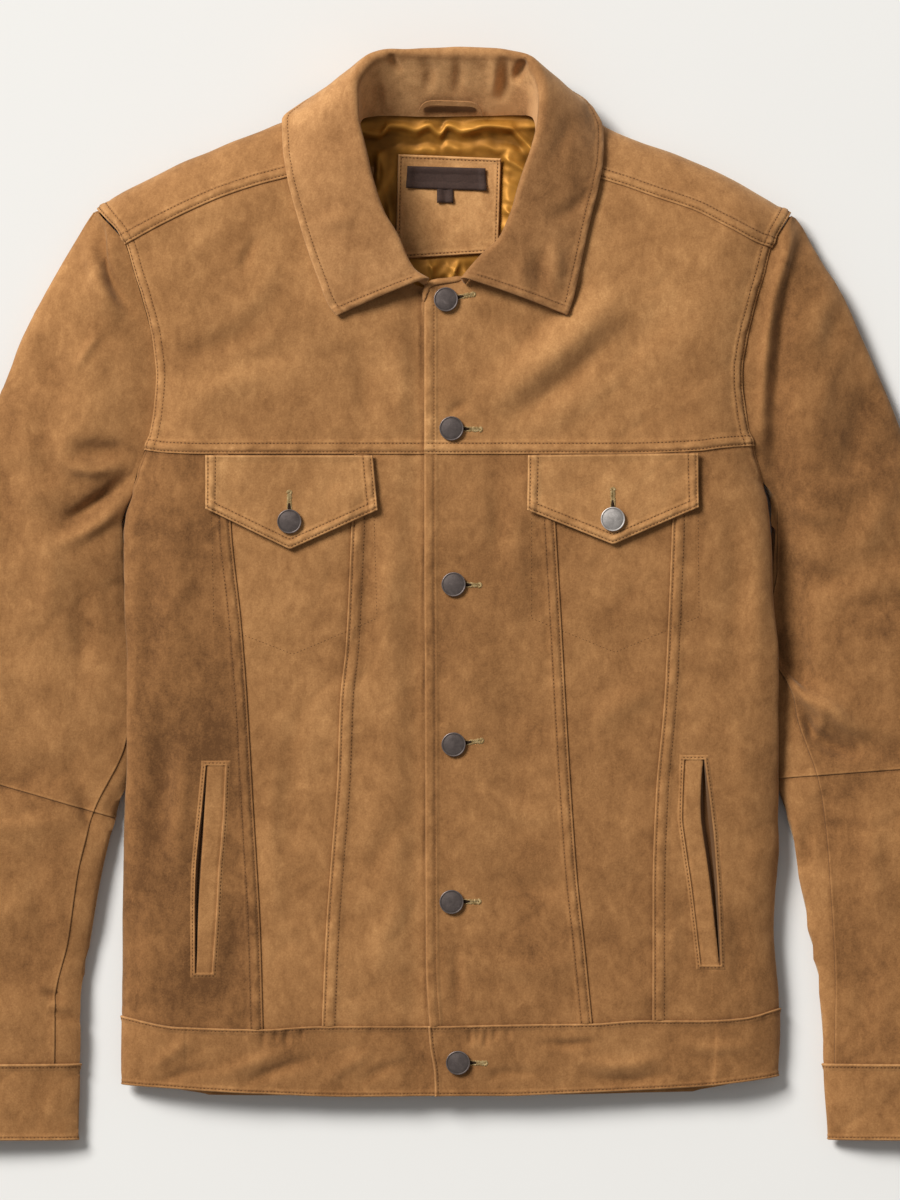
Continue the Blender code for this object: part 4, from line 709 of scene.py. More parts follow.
# ---------------------------------------------------------------- the back
def back_point(y_left, y_right, band=False):
    """Patch of the back on the floor, its sides lifted to the side seams."""
    def point(u, v):
        y = mix(y_left(v), y_right(v), u)
        for end, seam in ((0.0, hem_y), (1.0, hem_seam_y)) if band else ((0.0, hem_seam_y),):
            share = 1 - np.abs(v - end) if band else np.clip(1 - v / 3, 0, 1)
            y = y + (seam(mix(*HEM_CORNERS, u)) - mix(y_left(end), y_right(end), u)) * share
        starts = (np.radians(look(BACK_TURN, y - UNDERARM[s], "angle")) for s in "LR")
        a, b = (mix(start, math.pi / 2, np.clip(inset / BACK_ROUND, 0, 1))
                for start, inset in zip(starts, (u, 1 - u)))
        x_left = edge_x("L", y) + UNDER_ROLL * (1 - np.cos(a) ** UNDER_SHAPE)
        x_right = edge_x("R", y) - UNDER_ROLL * (1 - np.cos(b) ** UNDER_SHAPE)
        share = np.clip((u - BACK_ROUND) / (1 - 2 * BACK_ROUND), 0, 1)
        flat = mix(edge_x("L", y) + UNDER_ROLL, edge_x("R", y) - UNDER_ROLL, share)
        z_left, z_right = (back_lift(s, y) * (1 - np.sin(t) ** UNDER_SHAPE) for s, t in (("L", a), ("R", b)))
        left, right = u < BACK_ROUND, u > 1 - BACK_ROUND
        return (np.where(left, x_left, np.where(right, x_right, flat)), y,
                np.where(left, z_left, np.where(right, z_right, 0.0)))
    return point


def back_yoke_point(u, k):
    """Back yoke: row k from its seam on the back, over the shoulder fold, to the shoulder seam."""
    left, right = ([*ARM_LEVELS[s][SEAM_LEVEL:], *ARM_LEVELS[s][-2:SHOULDER_LEVEL - 1:-1]] for s in "LR")
    rows = np.arange(len(left))
    fold = len(ARM_LEVELS["L"]) - 1 - SEAM_LEVEL
    yl, yr = np.interp(k, rows, left), np.interp(k, rows, right)
    x = mix(edge_x("L", yl), edge_x("R", yr), u)
    straight = mix(yl, yr, u)
    f = (yl - left[0]) / (left[fold] - left[0])
    g = (left[fold] - yl) / (left[fold] - left[-1])
    fold_x = mix(float(edge_x("L", left[fold])), float(edge_x("R", right[fold])), u)
    fold_gain = look(SHOULDER, fold_x, "y", "x") - mix(left[fold], right[fold], u)
    seam_x = mix(float(edge_x("L", left[-1])), float(edge_x("R", right[-1])), u)
    seam_gain = look(SHOULDER_SEAM, seam_x, "y", "x") - mix(left[-1], right[-1], u)
    y_floor, y_top = straight + fold_gain * f, straight + mix(fold_gain, seam_gain, g)
    z_floor = SHOULDER_HEIGHT * (1 - dome(to_shoulder(x, y_floor) / SHOULDER_UNDER))
    return x, np.where(k > fold, y_top, y_floor), np.where(k > fold, front_z(x, y_top), z_floor)


def lining_z(x, y):
    """Top of the lining, which lies on the back yoke and climbs with it towards the neck."""
    lift = SHOULDER_HEIGHT * (1 - dome(to_shoulder(x, y) / LINING_ROLL))
    return lift + SUEDE + 2 * GAP + SATIN + LINING_CLIMB * ease((y - 296) / 30)


def on_lining(corners, above):
    """Patch `above` the lining, inside four corners given anticlockwise from the lower left."""
    ax, ay, bx, by, cx, cy, dx, dy = corners

    def point(u, v):
        x, y = mix(mix(ax, bx, u), mix(dx, cx, u), v), mix(mix(ay, by, u), mix(dy, cy, u), v)
        return x, y, lining_z(x, y) + above
    return point


# ---------------------------------------------------------------- relief
def noise(x, y, size, seed=0.0):
    """Smooth noise from -1 to 1 with bumps about `size` across."""
    gx, gy = x / size + 13.7 * seed, y / size - 7.3 * seed
    ix, iy = np.floor(gx), np.floor(gy)
    fx, fy = ease(gx - ix), ease(gy - iy)

    def corner(a, b):
        h = np.sin(a * 127.1 + b * 311.7 + seed * 74.7) * 43758.5453
        return 2 * (h - np.floor(h)) - 1
    low = mix(corner(ix, iy), corner(ix + 1, iy), fx)
    high = mix(corner(ix, iy + 1), corner(ix + 1, iy + 1), fx)
    return mix(low, high, fy)


def turned(x, y, degrees, stretch):
    """Coordinates along and across a direction, the first squeezed so that noise runs along it."""
    a = math.radians(degrees)
    return (x * math.cos(a) + y * math.sin(a)) / stretch, y * math.cos(a) - x * math.sin(a)


def bell(x, middle, width):
    """1 at the middle, falling off to either side over about twice the width."""
    return np.exp(-((x - middle) / width) ** 2)


def crease_sum(x, y, creases):
    """Height added by a table of creases, each of which follows its path and fades at both ends."""
    total = np.zeros(np.shape(x))
    for wide, high, lean, *knots in creases:
        knots = np.array(knots, float)
        reach = 3 * wide
        near = ((x > knots[:, 0].min() - reach) & (x < knots[:, 0].max() + reach)
                & (y > knots[:, 1].min() - reach) & (y < knots[:, 1].max() + reach))
        if not near.any():
            continue
        k = np.linspace(0, len(knots) - 1, 4 * (len(knots) - 1) + 1)
        path = np.stack([smooth(k, np.arange(len(knots)), knots[:, i]) for i in (0, 1)], -1)
        px, py = x[near], y[near]
        legs = np.hypot(*np.diff(path, axis=0).T)
        run = np.concatenate([[0.0], np.cumsum(legs)])
        best, along, left = np.full(px.shape, 1e9), np.zeros(px.shape), np.zeros(px.shape)
        for a, b, start, leg in zip(path, path[1:], run, legs):
            ux, uy = (b - a) / leg
            t = np.clip((px - a[0]) * ux + (py - a[1]) * uy, 0, leg)
            dx, dy = px - a[0] - ux * t, py - a[1] - uy * t
            d = np.hypot(dx, dy)
            closer = d < best
            best = np.where(closer, d, best)
            along = np.where(closer, (start + t) / run[-1], along)
            left = np.where(closer, dy * ux - dx * uy > 0, left)
        flank = wide * np.where(left > 0, 1.0, lean)
        total[near] += high * np.clip(np.sin(math.pi * along), 0, 1) * bell(best, 0, flank)
    return total


def ripple(x, y):
    """The soft unevenness that hide always has, and patches of fine lines, laid over the folds."""
    a, b = turned(x, y, 35, 1.8)
    c, d = turned(x, y, -50, 1.6)
    patchy = np.clip(0.5 + 0.9 * noise(x, y, 70, 13), 0, 1)
    lines = sum((1 - np.clip(np.abs(n), 0, 1)) ** 9 for n in (noise(a, b, 30, 14), noise(c, d, 24, 15)))
    swell = 0.55 * noise(x, y, 46, 1) + 0.34 * noise(a, b, 21, 2) + 0.12 * noise(x, y, 9, 3)
    return swell - 0.30 * patchy * lines


def seam_relief(d, s, kind, rows=()):
    """Height, rounding of the rim and tone, `d` from a seam or edge and `s` along it: rims and puffs painted
    pale, as rubbed nap and painted highlight, and stitch rows, seam lines and the cloth under a lap painted
    dark as painted shade.
    """
    high, rim, wear_and_shade = np.zeros(d.shape), np.zeros(d.shape), np.zeros(d.shape)
    last = max(rows, default=3.0)
    if kind == "under":
        # the cloth under a lap: painted shadow along the seam
        return -0.3 * bell(d, 0, 1.6), rim, -0.4 * bell(d, 0, 1.4)
    high += SEAM_THICK[kind] * (1 - ease((d - last - 0.2) / 2.2))
    for row in rows:
        beat = 1 + 0.5 * noise(s, d * 0, 4.0, row)
        high -= 0.55 * beat * bell(d, row, 0.85)
        # painted shade in the stitch dents
        wear_and_shade -= 0.55 * bell(d, row, 0.8)
    if kind in ("lap", "rim", "placket"):
        # the doubled cloth puffs up between the rows, and the single cloth puckers beyond the last
        between = bell(d, last * 0.5, last * 0.34)
        high += between * (0.40 + 0.45 * noise(s, d, 5.5, 5)) * (1 if last > 4 else 0.5)
        # the puff painted pale: rubbed nap and painted highlight
        wear_and_shade += between * (0.24 + 0.35 * noise(s, d, 4.0, 9))
        beyond = bell(d - last, 3.5, 5.5)
        high += beyond * (0.38 * noise(s, d * 0.35, 8.5, 6) + 0.24 * noise(s, d * 0.3, 4.4, 7))
        # the rim and the last row's edge painted pale: rubbed nap and painted highlight
        wear_and_shade += 0.55 * bell(d, 0.5, 0.8) + 0.22 * bell(d - last, 1.3, 0.8)
    if kind == "placket":
        high += 0.4 * bell(d - last, 1.2, 0.9)
        # the placket's ridge painted pale: rubbed nap and painted highlight
        wear_and_shade += 0.3 * bell(d - last, 1.2, 0.8)
    if kind == "plain":
        high += 0.3 * bell(d, 1.2, 1.1) + 0.2 * noise(s, d * 0.3, 9, 8) * bell(d, 0, 7)
        # a pale ridge, rubbed nap and painted highlight, beside a dark line of painted shade in the seam
        wear_and_shade += 0.5 * bell(d, 1.1, 0.7) - 1.5 * bell(d, 0, 0.5)
    radius = RIM_RADIUS.get(kind, 1.5)
    rim -= radius * (1 - np.sqrt(np.clip(1 - np.clip(1 - d / radius, 0, 1) ** 2, 0, 1))) * 0.75
    return high, rim, wear_and_shade


# ---------------------------------------------------------------- shells
def spaced(point, axis, ends, others, cell, dense):
    """Grid positions about `cell` apart, closer together beside the ends that have a seam."""
    fine = np.linspace(*ends, 700)
    runs = []
    for other in others:
        across = np.full(len(fine), other)
        runs.append(run_of(as_points(point(fine, across) if axis == 0 else point(across, fine))))
    longest = max(runs, key=lambda run: run[-1])
    total = longest[-1]
    low = NEAR[-1] if dense[0] else 0.0
    high = total - (NEAR[-1] if dense[1] else 0.0)
    wanted = list(np.linspace(low, high, max(2, round((high - low) / cell)) + 1))
    if dense[0]:
        wanted = [0.0, *NEAR[:-1], *wanted]
    if dense[1]:
        wanted += [total - d for d in NEAR[-2::-1]] + [total]
    return np.interp(wanted, longest, fine)


def lengths(points, axis):
    """Distance along the grid lines of one axis, from its start and from its end."""
    run = np.cumsum(np.linalg.norm(np.diff(points, axis=axis), axis=-1), axis=axis)
    run = np.concatenate([np.zeros_like(np.take(run, [0], axis=axis)), run], axis=axis)
    return run, np.take(run, [-1], axis=axis) - run


def grid_faces(ids):
    """Quads between neighbours in a grid of vertex numbers."""
    return np.stack([ids[:-1, :-1], ids[1:, :-1], ids[1:, 1:], ids[:-1, 1:]], -1).reshape(-1, 4)


def tube_faces(base, rings, sides):
    """Quads round a tube of vertex rings whose first vertex is number `base`."""
    faces = []
    for ring in range(rings - 1):
        for q in range(sides):
            a, b = (base + ring * sides + k % sides for k in (q, q + 1))
            faces.append((a, a + sides, b + sides, b))
    return faces


def wall(fine, coarse, places):
    """Triangles from a fine chain of edge points to the coarse chain behind it."""
    out = []
    for k in range(len(places) - 1):
        a, b, ia, ib = coarse[k], coarse[k + 1], places[k], places[k + 1]
        middle = (ia + ib) // 2
        out += [(fine[i + 1], fine[i], a) for i in range(ia, middle)]
        out.append((a, b, fine[middle]))
        out += [(fine[i + 1], fine[i], b) for i in range(middle, ib)]
    return out


def close(outer, inner_of, flip):
    """Vertices and faces of a closed wall: a fine outer grid and a coarser inner one."""
    n, m = outer.shape[:2]
    rows, cols = ([*range(0, k - 1, INNER_STRIDE), k - 1] for k in (n, m))
    inner = inner_of[np.ix_(rows, cols)]
    ids = np.arange(n * m).reshape(n, m)
    low = n * m + np.arange(len(rows) * len(cols)).reshape(len(rows), len(cols))
    faces = grid_faces(ids).tolist() + grid_faces(low)[:, [0, 3, 2, 1]].tolist()
    faces += wall(ids[:, 0], low[:, 0], rows)
    faces += wall(ids[-1], low[-1], cols)
    faces += wall(ids[::-1, -1], low[::-1, -1], [n - 1 - i for i in rows[::-1]])
    faces += wall(ids[0, ::-1], low[0, ::-1], [m - 1 - i for i in cols[::-1]])
    way = -1 if flip else 1
    faces = [tuple(int(i) for i in f[::way]) for f in faces]
    return np.concatenate([outer.reshape(-1, 3), inner.reshape(-1, 3)]), faces


def lowest(high, reach):
    """The least height within `reach` grid steps, so that a coarse inner face stays inside a crease."""
    for axis in (0, 1):
        size = high.shape[axis]
        padded = np.pad(high, [(reach, reach) if a == axis else (0, 0) for a in (0, 1)], mode="edge")
        high = np.min([np.take(padded, range(k, k + size), axis) for k in range(2 * reach + 1)], axis=0)
    return high


def add_mesh(name, verts, faces, mat, angle=60, wear_and_shade=None):
    """Object from vertices in millimetres, smooth but for edges sharper than `angle`."""
    mesh = bpy.data.meshes.new(name)
    mesh.from_pydata((np.asarray(verts) * MM).tolist(), [], faces)
    mesh.shade_smooth()
    mesh.set_sharp_from_angle(angle=math.radians(angle))
    mesh.materials.append(mat)
    if wear_and_shade is not None:
        mesh.attributes.new("wear_and_shade", "FLOAT", "POINT").data.foreach_set("value", wear_and_shade.astype(np.float32))
    obj = bpy.data.objects.new(name, mesh)
    bpy.context.scene.collection.objects.link(obj)
    return obj


def piece_shading(name, across, along):
    """How much paler or darker a piece is painted as a whole, as painted broad shade and light; the collar's
    stand is painted pale as painted light, with the loop's painted shadow below the loop, and the right leaf
    painted darker as painted shade.
    """
    if name != "hide_collar":
        return PIECE_SHADING.get(name.replace("hide_", ""), 0.0)
    stand = ease((STAND_END - across) / 0.04)
    aside = np.abs(along - MIDDLE_SECTION) * SECTION_STEP
    # painted shadow of the hanger loop on the stand
    below_loop = ease((LOOP_GAP - across) / 0.02) * ease(across / 0.04)
    behind_loop = ease((LOOP_HALF - 3.0 - aside) / 2.5) * below_loop
    right_leaf = ease((along - RIGHT_LEAF) / 2.0) * (1 - stand)
    return 0.1 + stand * (1.0 - 3.2 * behind_loop) - 0.5 * right_leaf


def shell(name, point, v_ends, thick, mat, seams=None, relief=None, cell=2.4, flip=False,
          samples=((0.1, 0.5, 0.9), (0.1, 0.5, 0.9))):
    """A closed wall of cloth on point(u, v), with the relief of its seams and creases."""
    seams = seams or {}
    v0, v1 = v_ends
    dense = {e: seams.get(e, NONE)[0] not in ("none", "under") for e in ("u0", "u1", "v0", "v1")}
    us = spaced(point, 0, (0.0, 1.0), [mix(v0, v1, k) for k in samples[1]], cell, (dense["u0"], dense["u1"]))
    vs = spaced(point, 1, (v0, v1), samples[0], cell, (dense["v0"], dense["v1"]))
    points, normals = surface(point, us, vs)
    if flip:
        normals = -normals
    du0, du1 = lengths(points, 0)
    dv0, dv1 = lengths(points, 1)
    dist = {"u0": du0, "u1": du1, "v0": dv0, "v1": dv1}
    along = {"u0": dv0, "u1": dv0, "v0": du0, "v1": du0}
    x, y = points[..., 0], points[..., 1]
    high = relief(points, normals) if relief else np.zeros(x.shape)
    rim = np.zeros(x.shape)
    # Tone: ridges painted pale and dents painted dark by height, as painted highlight and shade, plus each
    # piece's painted broad shade
    wear_and_shade = RUB_AND_SHADE_BY_HEIGHT * np.clip(high, -2.5, 2.5) + piece_shading(name, us[:, None], vs[None, :])
    # Paler where the cloth turns sideways round a fold: rubbed nap and painted highlight
    wear_and_shade += 0.25 * ease((np.abs(normals[..., 0]) - 0.35) / 0.3)
    # Painted shadow of the right front's edge on the left front
    if name in PLACKET_SHADOW_PIECES:
        wear_and_shade -= 0.9 * bell(look(PLACKET, y) - x, 0.7, 1.1)
    for edge, (kind, *more) in seams.items():
        if kind == "none":
            continue
        dh, dr, dw = seam_relief(dist[edge], along[edge], kind, more[0] if more else ())
        if len(more) > 1:
            start, end = more[1]
            other, soft = (vs[None, :], 0.5) if edge[0] == "u" else (us[:, None], 0.08)
            fade = ease((other - start) / soft) * ease((end - other) / soft)
            dh, dr, dw = dh * fade, dr * fade, dw * fade
        high, wear_and_shade, rim = high + dh, wear_and_shade + dw, np.minimum(rim, dr)
    outer = points + normals * (high + rim)[..., None]
    inner = points + normals * (lowest(high, INNER_STRIDE) - thick)[..., None]
    verts, faces = close(outer, inner, flip)
    obj = add_mesh(name, verts, faces, mat, wear_and_shade=np.pad(wear_and_shade.ravel(), (0, len(verts) - wear_and_shade.size)))
    n = np.cross(np.gradient(outer, axis=0), np.gradient(outer, axis=1)) * (-1 if flip else 1)
    n /= np.linalg.norm(n, axis=-1, keepdims=True) + 1e-9
    PANELS[name] = dict(points=outer, normals=n, dist=dist, vs=vs, us=us)
    return obj


# ---------------------------------------------------------------- stitches
def seam_line(name, edge, offset, trim=(0.0, 0.0), span=None):
    """Points and normals on a finished panel at `offset` from one edge, cut short at either end."""
    p = PANELS[name]
    points, normals, d = p["points"], p["normals"], p["dist"][edge]
    if edge[0] == "v":
        points, normals, d = points.transpose(1, 0, 2), normals.transpose(1, 0, 2), d.T
    if edge[1] == "1":
        points, normals, d = points[::-1], normals[::-1], d[::-1]
    place = np.array([np.interp(offset, d[:, j], np.arange(len(d))) for j in range(d.shape[1])])
    i = np.minimum(place.astype(int), len(d) - 2)
    f, j = (place - i)[:, None], np.arange(d.shape[1])
    line, up = (mix(grid[i, j], grid[i + 1, j], f) for grid in (points, normals))
    if span:
        other = p["vs" if edge[0] == "u" else "us"]
        kept = (other >= span[0]) & (other <= span[1])
        line, up = line[kept], up[kept]
    run = run_of(line)
    kept = (run >= trim[0]) & (run <= run[-1] - trim[1])
    return line[kept], up[kept]


def sew(group, line, up, pitch=2.6, length=1.6, radius=0.40, sunk=0.22):
    """Lay stitches along a line of points."""
    run = run_of(line)
    if run[-1] < pitch:
        return
    places = np.arange(pitch / 2, run[-1] - pitch / 4, pitch)
    places = places + 0.12 * noise(places, places * 0, 1.3, 11)

    def at(s, values):
        return np.stack([np.interp(s, run, values[:, k]) for k in range(3)], -1)
    tie(group, at(places - length / 2, line), at(places + length / 2, line), at(places, up), radius, sunk)


def tie(group, a, b, up, radius, sunk=0.0):
    """Lay single threads from a to b."""
    STITCHES.setdefault(group, []).append((*(np.asarray(v, float) for v in (a, b, up)), radius, sunk))


def sew_rows(group, piece, edge, line, trim=(0, 0), span=None, **how):
    """Sew a seam's rows along one edge of a piece. A trim of None is the row's own distance."""
    for d in SEAM_ROWS[line]:
        ends = tuple(d if t is None else t for t in trim)
        sew(group, *seam_line("hide_" + piece, edge, d, ends, span), **how)


def build_threads(group, mat):
    """One object of all the threads in a group: short rods with tucked ends."""
    verts, faces, base = [], [], 0
    for a, b, up, radius, sunk in STITCHES[group]:
        way = b - a
        way /= np.linalg.norm(way, axis=1, keepdims=True) + 1e-9
        side = np.cross(up, way)
        side /= np.linalg.norm(side, axis=1, keepdims=True) + 1e-9
        top = np.cross(way, side)
        for k in range(len(a)):
            for t, grow, dip in THREAD_RINGS:
                centre = mix(a[k], b[k], t) + top[k] * (dip - sunk + radius * 0.4)
                for q in range(THREAD_SIDES):
                    turn = 2 * math.pi * (q + 0.5) / THREAD_SIDES
                    out = side[k] * math.cos(turn) + top[k] * math.sin(turn)
                    verts.append(centre + radius * grow * out)
            faces += tube_faces(base, len(THREAD_RINGS), THREAD_SIDES)
            last = base + (len(THREAD_RINGS) - 1) * THREAD_SIDES
            faces.append(tuple(range(base, base + THREAD_SIDES)))
            faces.append(tuple(range(last + THREAD_SIDES - 1, last - 1, -1)))
            base = last + THREAD_SIDES
    return add_mesh(group, np.array(verts), faces, mat, angle=80)


# ---------------------------------------------------------------- materials
class Nodes:
    """Short-hand for one material's node tree."""

    def __init__(self, name, rough, metal=0.0, **fixed):
        self.mat = bpy.data.materials.new(name)
        self.mat.use_nodes = True
        self.tree = self.mat.node_tree
        self.place = self.node("TexCoord").outputs["Object"]
        self.shade(Roughness=rough, Metallic=metal, **fixed)

    def put(self, socket, value):
        """Set an input, or link it where the value is another node's output."""
        if hasattr(value, "is_output"):
            self.tree.links.new(value, socket)
        else:
            socket.default_value = value

    def node(self, kind, **values):
        """A new node with its inputs set or linked."""
        node = self.tree.nodes.new("ShaderNode" + kind)
        for key, value in values.items():
            self.put(node.inputs[key], value)
        return node

    def shade(self, **values):
        """Set or link the shader's own inputs, and give the material."""
        for key, value in values.items():
            self.put(self.tree.nodes["Principled BSDF"].inputs[key.replace("_", " ")], value)
        return self.mat

    def stretch(self, turn, scale):
        """The object's own coordinates, turned about Z by degrees and scaled."""
        turn = (0, 0, math.radians(turn))
        return self.node("Mapping", Vector=self.place, Rotation=turn, Scale=scale).outputs["Vector"]

    def noise(self, size, detail=3.0, rough=0.55, warp=0.0, place=None):
        """Noise with features about `size` millimetres across."""
        return self.node("TexNoise", Vector=place or self.place, Scale=1000.0 / size, Detail=detail,
                         Roughness=rough, Distortion=warp).outputs["Fac"]

    def wear_and_shade(self):
        """How the mesh is toned by its own values: rubbed places, and painted shade and highlight."""
        node = self.node("Attribute")
        node.attribute_name = "wear_and_shade"
        return node.outputs["Fac"]

    def maths(self, kind, *values):
        """A sum or a product."""
        node = self.node("Math")
        node.operation = kind
        for socket, value in zip(node.inputs, (*values, 0.0)):
            self.put(socket, value)
        return node.outputs[0]

    def add(self, *terms):
        """Sum of (value, weight) pairs."""
        total = 0.0
        for value, weight in terms:
            total = self.maths("MULTIPLY_ADD", value, weight, total)
        return total

    def ramp(self, value, *stops):
        """Colour from (position, linear colour) stops."""
        node = self.node("ValToRGB", Fac=value)
        band = node.color_ramp
        while len(band.elements) < len(stops):
            band.elements.new(0.5)
        for element, (position, colour) in zip(band.elements, stops):
            element.position = position
            element.color = (*colour, 1)
        return node.outputs["Color"]

    def bump(self, *layers):
        """Bump from (height, strength, distance in millimetres) layers, one over the other."""
        below = {}
        for height, strength, distance in layers:
            node = self.node("Bump", Strength=strength, Distance=distance * MM, Height=height, **below)
            below = {"Normal": node.outputs["Normal"]}
        return below["Normal"]


def tone(colour, factor):
    """A colour made lighter or darker."""
    return tuple(c * factor for c in colour)


def shift(colour, factor, pale):
    """A colour made lighter or darker, and paler or, below 0, more saturated."""
    r, g, b = tone(colour, factor)
    return r, g * (1 + pale), b * (1 + 2.2 * pale)


def suede(name, base, turn):
    """Brushed hide: cloudy nap in several sizes, paler where it is rubbed and under painted highlight, and
    darker in the dents as painted shade.
    """
    n = Nodes(name, 0.9, Specular_IOR_Level=0.22, Sheen_Weight=0.22, Sheen_Roughness=0.5,
              Sheen_Tint=(1.0, 0.80, 0.55, 1))
    cloud = n.noise(60, 6.0, 0.62, 0.3)
    blots = n.noise(17, 6.0, 0.66, 0.8, n.stretch(turn, (1.0, 0.72, 1.0)))
    scuffs = n.noise(5.5, 5.0, 0.68, 0.4, n.stretch(turn + 70, (1.0, 0.6, 1.0)))
    nap = n.noise(1.3, 3.0, 0.75)
    value = n.add((cloud, 0.72), (blots, 0.50), (scuffs, 0.46), (nap, 0.46), (n.wear_and_shade(), 0.30))
    value = n.maths("ADD", value, -0.57)
    colour = n.ramp(value, (0.06, shift(base, 0.36, -0.12)), (0.32, shift(base, 0.74, -0.05)), (0.50, base),
                    (0.68, shift(base, 1.30, 0.05)), (0.96, shift(base, 1.95, 0.14)))
    pile = n.bump((n.noise(4.0, 4.0, 0.65), 0.30, 0.5), (n.noise(0.85, 3.0, 0.75), 0.55, 0.28))
    return n.shade(Base_Color=colour, Normal=pile)


def satin():
    """Gold satin: a tight glossy weave, painted darker in its folds and paler on its crests, as painted shade
    and highlight.
    """
    n = Nodes("satin_lining", 0.5, 0.38, Specular_IOR_Level=0.2, Sheen_Weight=0.1, Sheen_Roughness=0.3,
              Sheen_Tint=(1.0, 0.72, 0.3, 1), Anisotropic=0.4)
    value = n.add((n.noise(14, 2.0), 0.5), (n.wear_and_shade(), 0.9))
    colour = n.ramp(value, (0.0, (0.10, 0.038, 0.004)), (0.30, (0.31, 0.132, 0.018)),
                    (0.62, (0.52, 0.238, 0.038)))
    rough = n.maths("MULTIPLY_ADD", n.noise(3.0, 3.0), 0.12, 0.46)
    crush = n.noise(6.0, 3.0, 0.6)
    weave = n.noise(0.5, 2.0, 0.5, 0.0, n.stretch(0, (0.25, 2.0, 1.0)))
    return n.shade(Base_Color=colour, Roughness=rough, Normal=n.bump((crush, 0.25, 0.5), (weave, 0.15, 0.08)))


def woven():
    """Dark woven tape with its fine crosswise ribs."""
    n = Nodes("woven_label", 0.72, Specular_IOR_Level=0.3, Sheen_Weight=0.15)
    wave = n.node("TexWave", Vector=n.place, Scale=720.0, Distortion=0.8)
    wave.bands_direction = "Y"
    ribs = wave.outputs["Fac"]
    value = n.add((ribs, 0.35), (n.noise(1.1, 3.0), 0.65))
    colour = n.ramp(value, (0.25, (0.020, 0.009, 0.006)), (0.8, (0.072, 0.036, 0.025)))
    return n.shade(Base_Color=colour, Normal=n.bump((ribs, 0.5, 0.16), (n.noise(0.8, 2.0), 0.3, 0.1)))


def thread(name, dark, light, rough=0.6):
    """Twisted thread between two colours."""
    n = Nodes(name, rough, Specular_IOR_Level=0.2)
    colour = n.ramp(n.noise(2.2, 2.0), (0.35, dark), (0.65, light))
    twist = n.noise(0.35, 2.0, 0.5, 0.0, n.stretch(45, (1.0, 4.0, 1.0)))
    return n.shade(Base_Color=colour, Normal=n.bump((twist, 0.5, 0.08)))


def antique_metal(name, base):
    """Dark plated metal, rubbed bright on the rims by its wear value and blotched all over."""
    n = Nodes(name, 0.42, 0.75, Specular_IOR_Level=0.5)
    value = n.add((n.noise(4.5, 4.0, 0.6, 0.5), 0.62), (n.noise(0.8, 3.0), 0.3), (n.wear_and_shade(), 0.32))
    colour = n.ramp(value, (0.28, tone(base, 0.62)), (0.55, base), (0.85, tone(base, 1.9)),
                    (1.0, tone(base, 2.8)))
    rough = n.maths("MULTIPLY_ADD", n.noise(1.4, 4.0, 0.7), 0.20, 0.36)
    return n.shade(Base_Color=colour, Roughness=rough, Normal=n.bump((n.noise(1.0, 4.0, 0.7), 0.12, 0.08)))


def plain(name, size, dark, light):
    """A dull surface that varies a little between two colours."""
    n = Nodes(name, 0.95, Specular_IOR_Level=0.1)
    return n.shade(Base_Color=n.ramp(n.noise(size), (0.3, dark), (0.7, light)))


# ---------------------------------------------------------------- putting the pieces in the frame
def keep(obj, slot, *nodes):
    """The piece rides on the jacket and stands for its nodes, which it hides; the slot is not used."""
    if nodes:
        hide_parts(*nodes)
    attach(obj, "root")
    return obj


def cloth(node, obj, slot="suede"):
    """A sewn piece, kept on the jacket in place of its node; what it lies on is looked up and not used."""
    keep(obj, slot, node)
    below = RESTS.get(node.rstrip("LR").rstrip("_"))
    if below and below + node[-2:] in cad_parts:
        below += node[-2:]
    return obj


def panel(node, point, ends, thick, mat, seams, relief, slot="suede", **grid):
    """One sewn piece of hide on its surface."""
    return cloth(node, shell("hide_" + node, point, ends, thick, mat, seams, relief, **grid), slot)


# ---------------------------------------------------------------- the jacket's pieces
def top_relief(creases, gain=2.3, loose=1.6):
    """Creases and unevenness of the cloth, only where it faces up."""
    def relief(points, normals):
        x, y = points[..., 0], points[..., 1]
        facing_up = ease((normals[..., 2] + 0.1) / 0.45)
        high = (gain * crease_sum(x, y, creases) + loose * ripple(x, y)) * facing_up
        return np.maximum(high, -DEEPEST * points[..., 2])
    return relief


def pit(x, y, window):
    """How far a place lies inside a pocket's window; below 0 it is outside."""
    left, right = (smooth(y, window["y"], window[k]) for k in ("left", "right"))
    return np.minimum(np.minimum(x - left, right - x), np.minimum(y - window["y"][0], window["y"][-1] - y))


def lap(line, *span):
    """A seam whose upper piece is folded under and sewn down along the line's rows."""
    return ("lap", SEAM_ROWS[line], *span)


def rim(line, *span):
    """A turned edge, sewn along the line's rows."""
    return ("rim", SEAM_ROWS[line], *span)


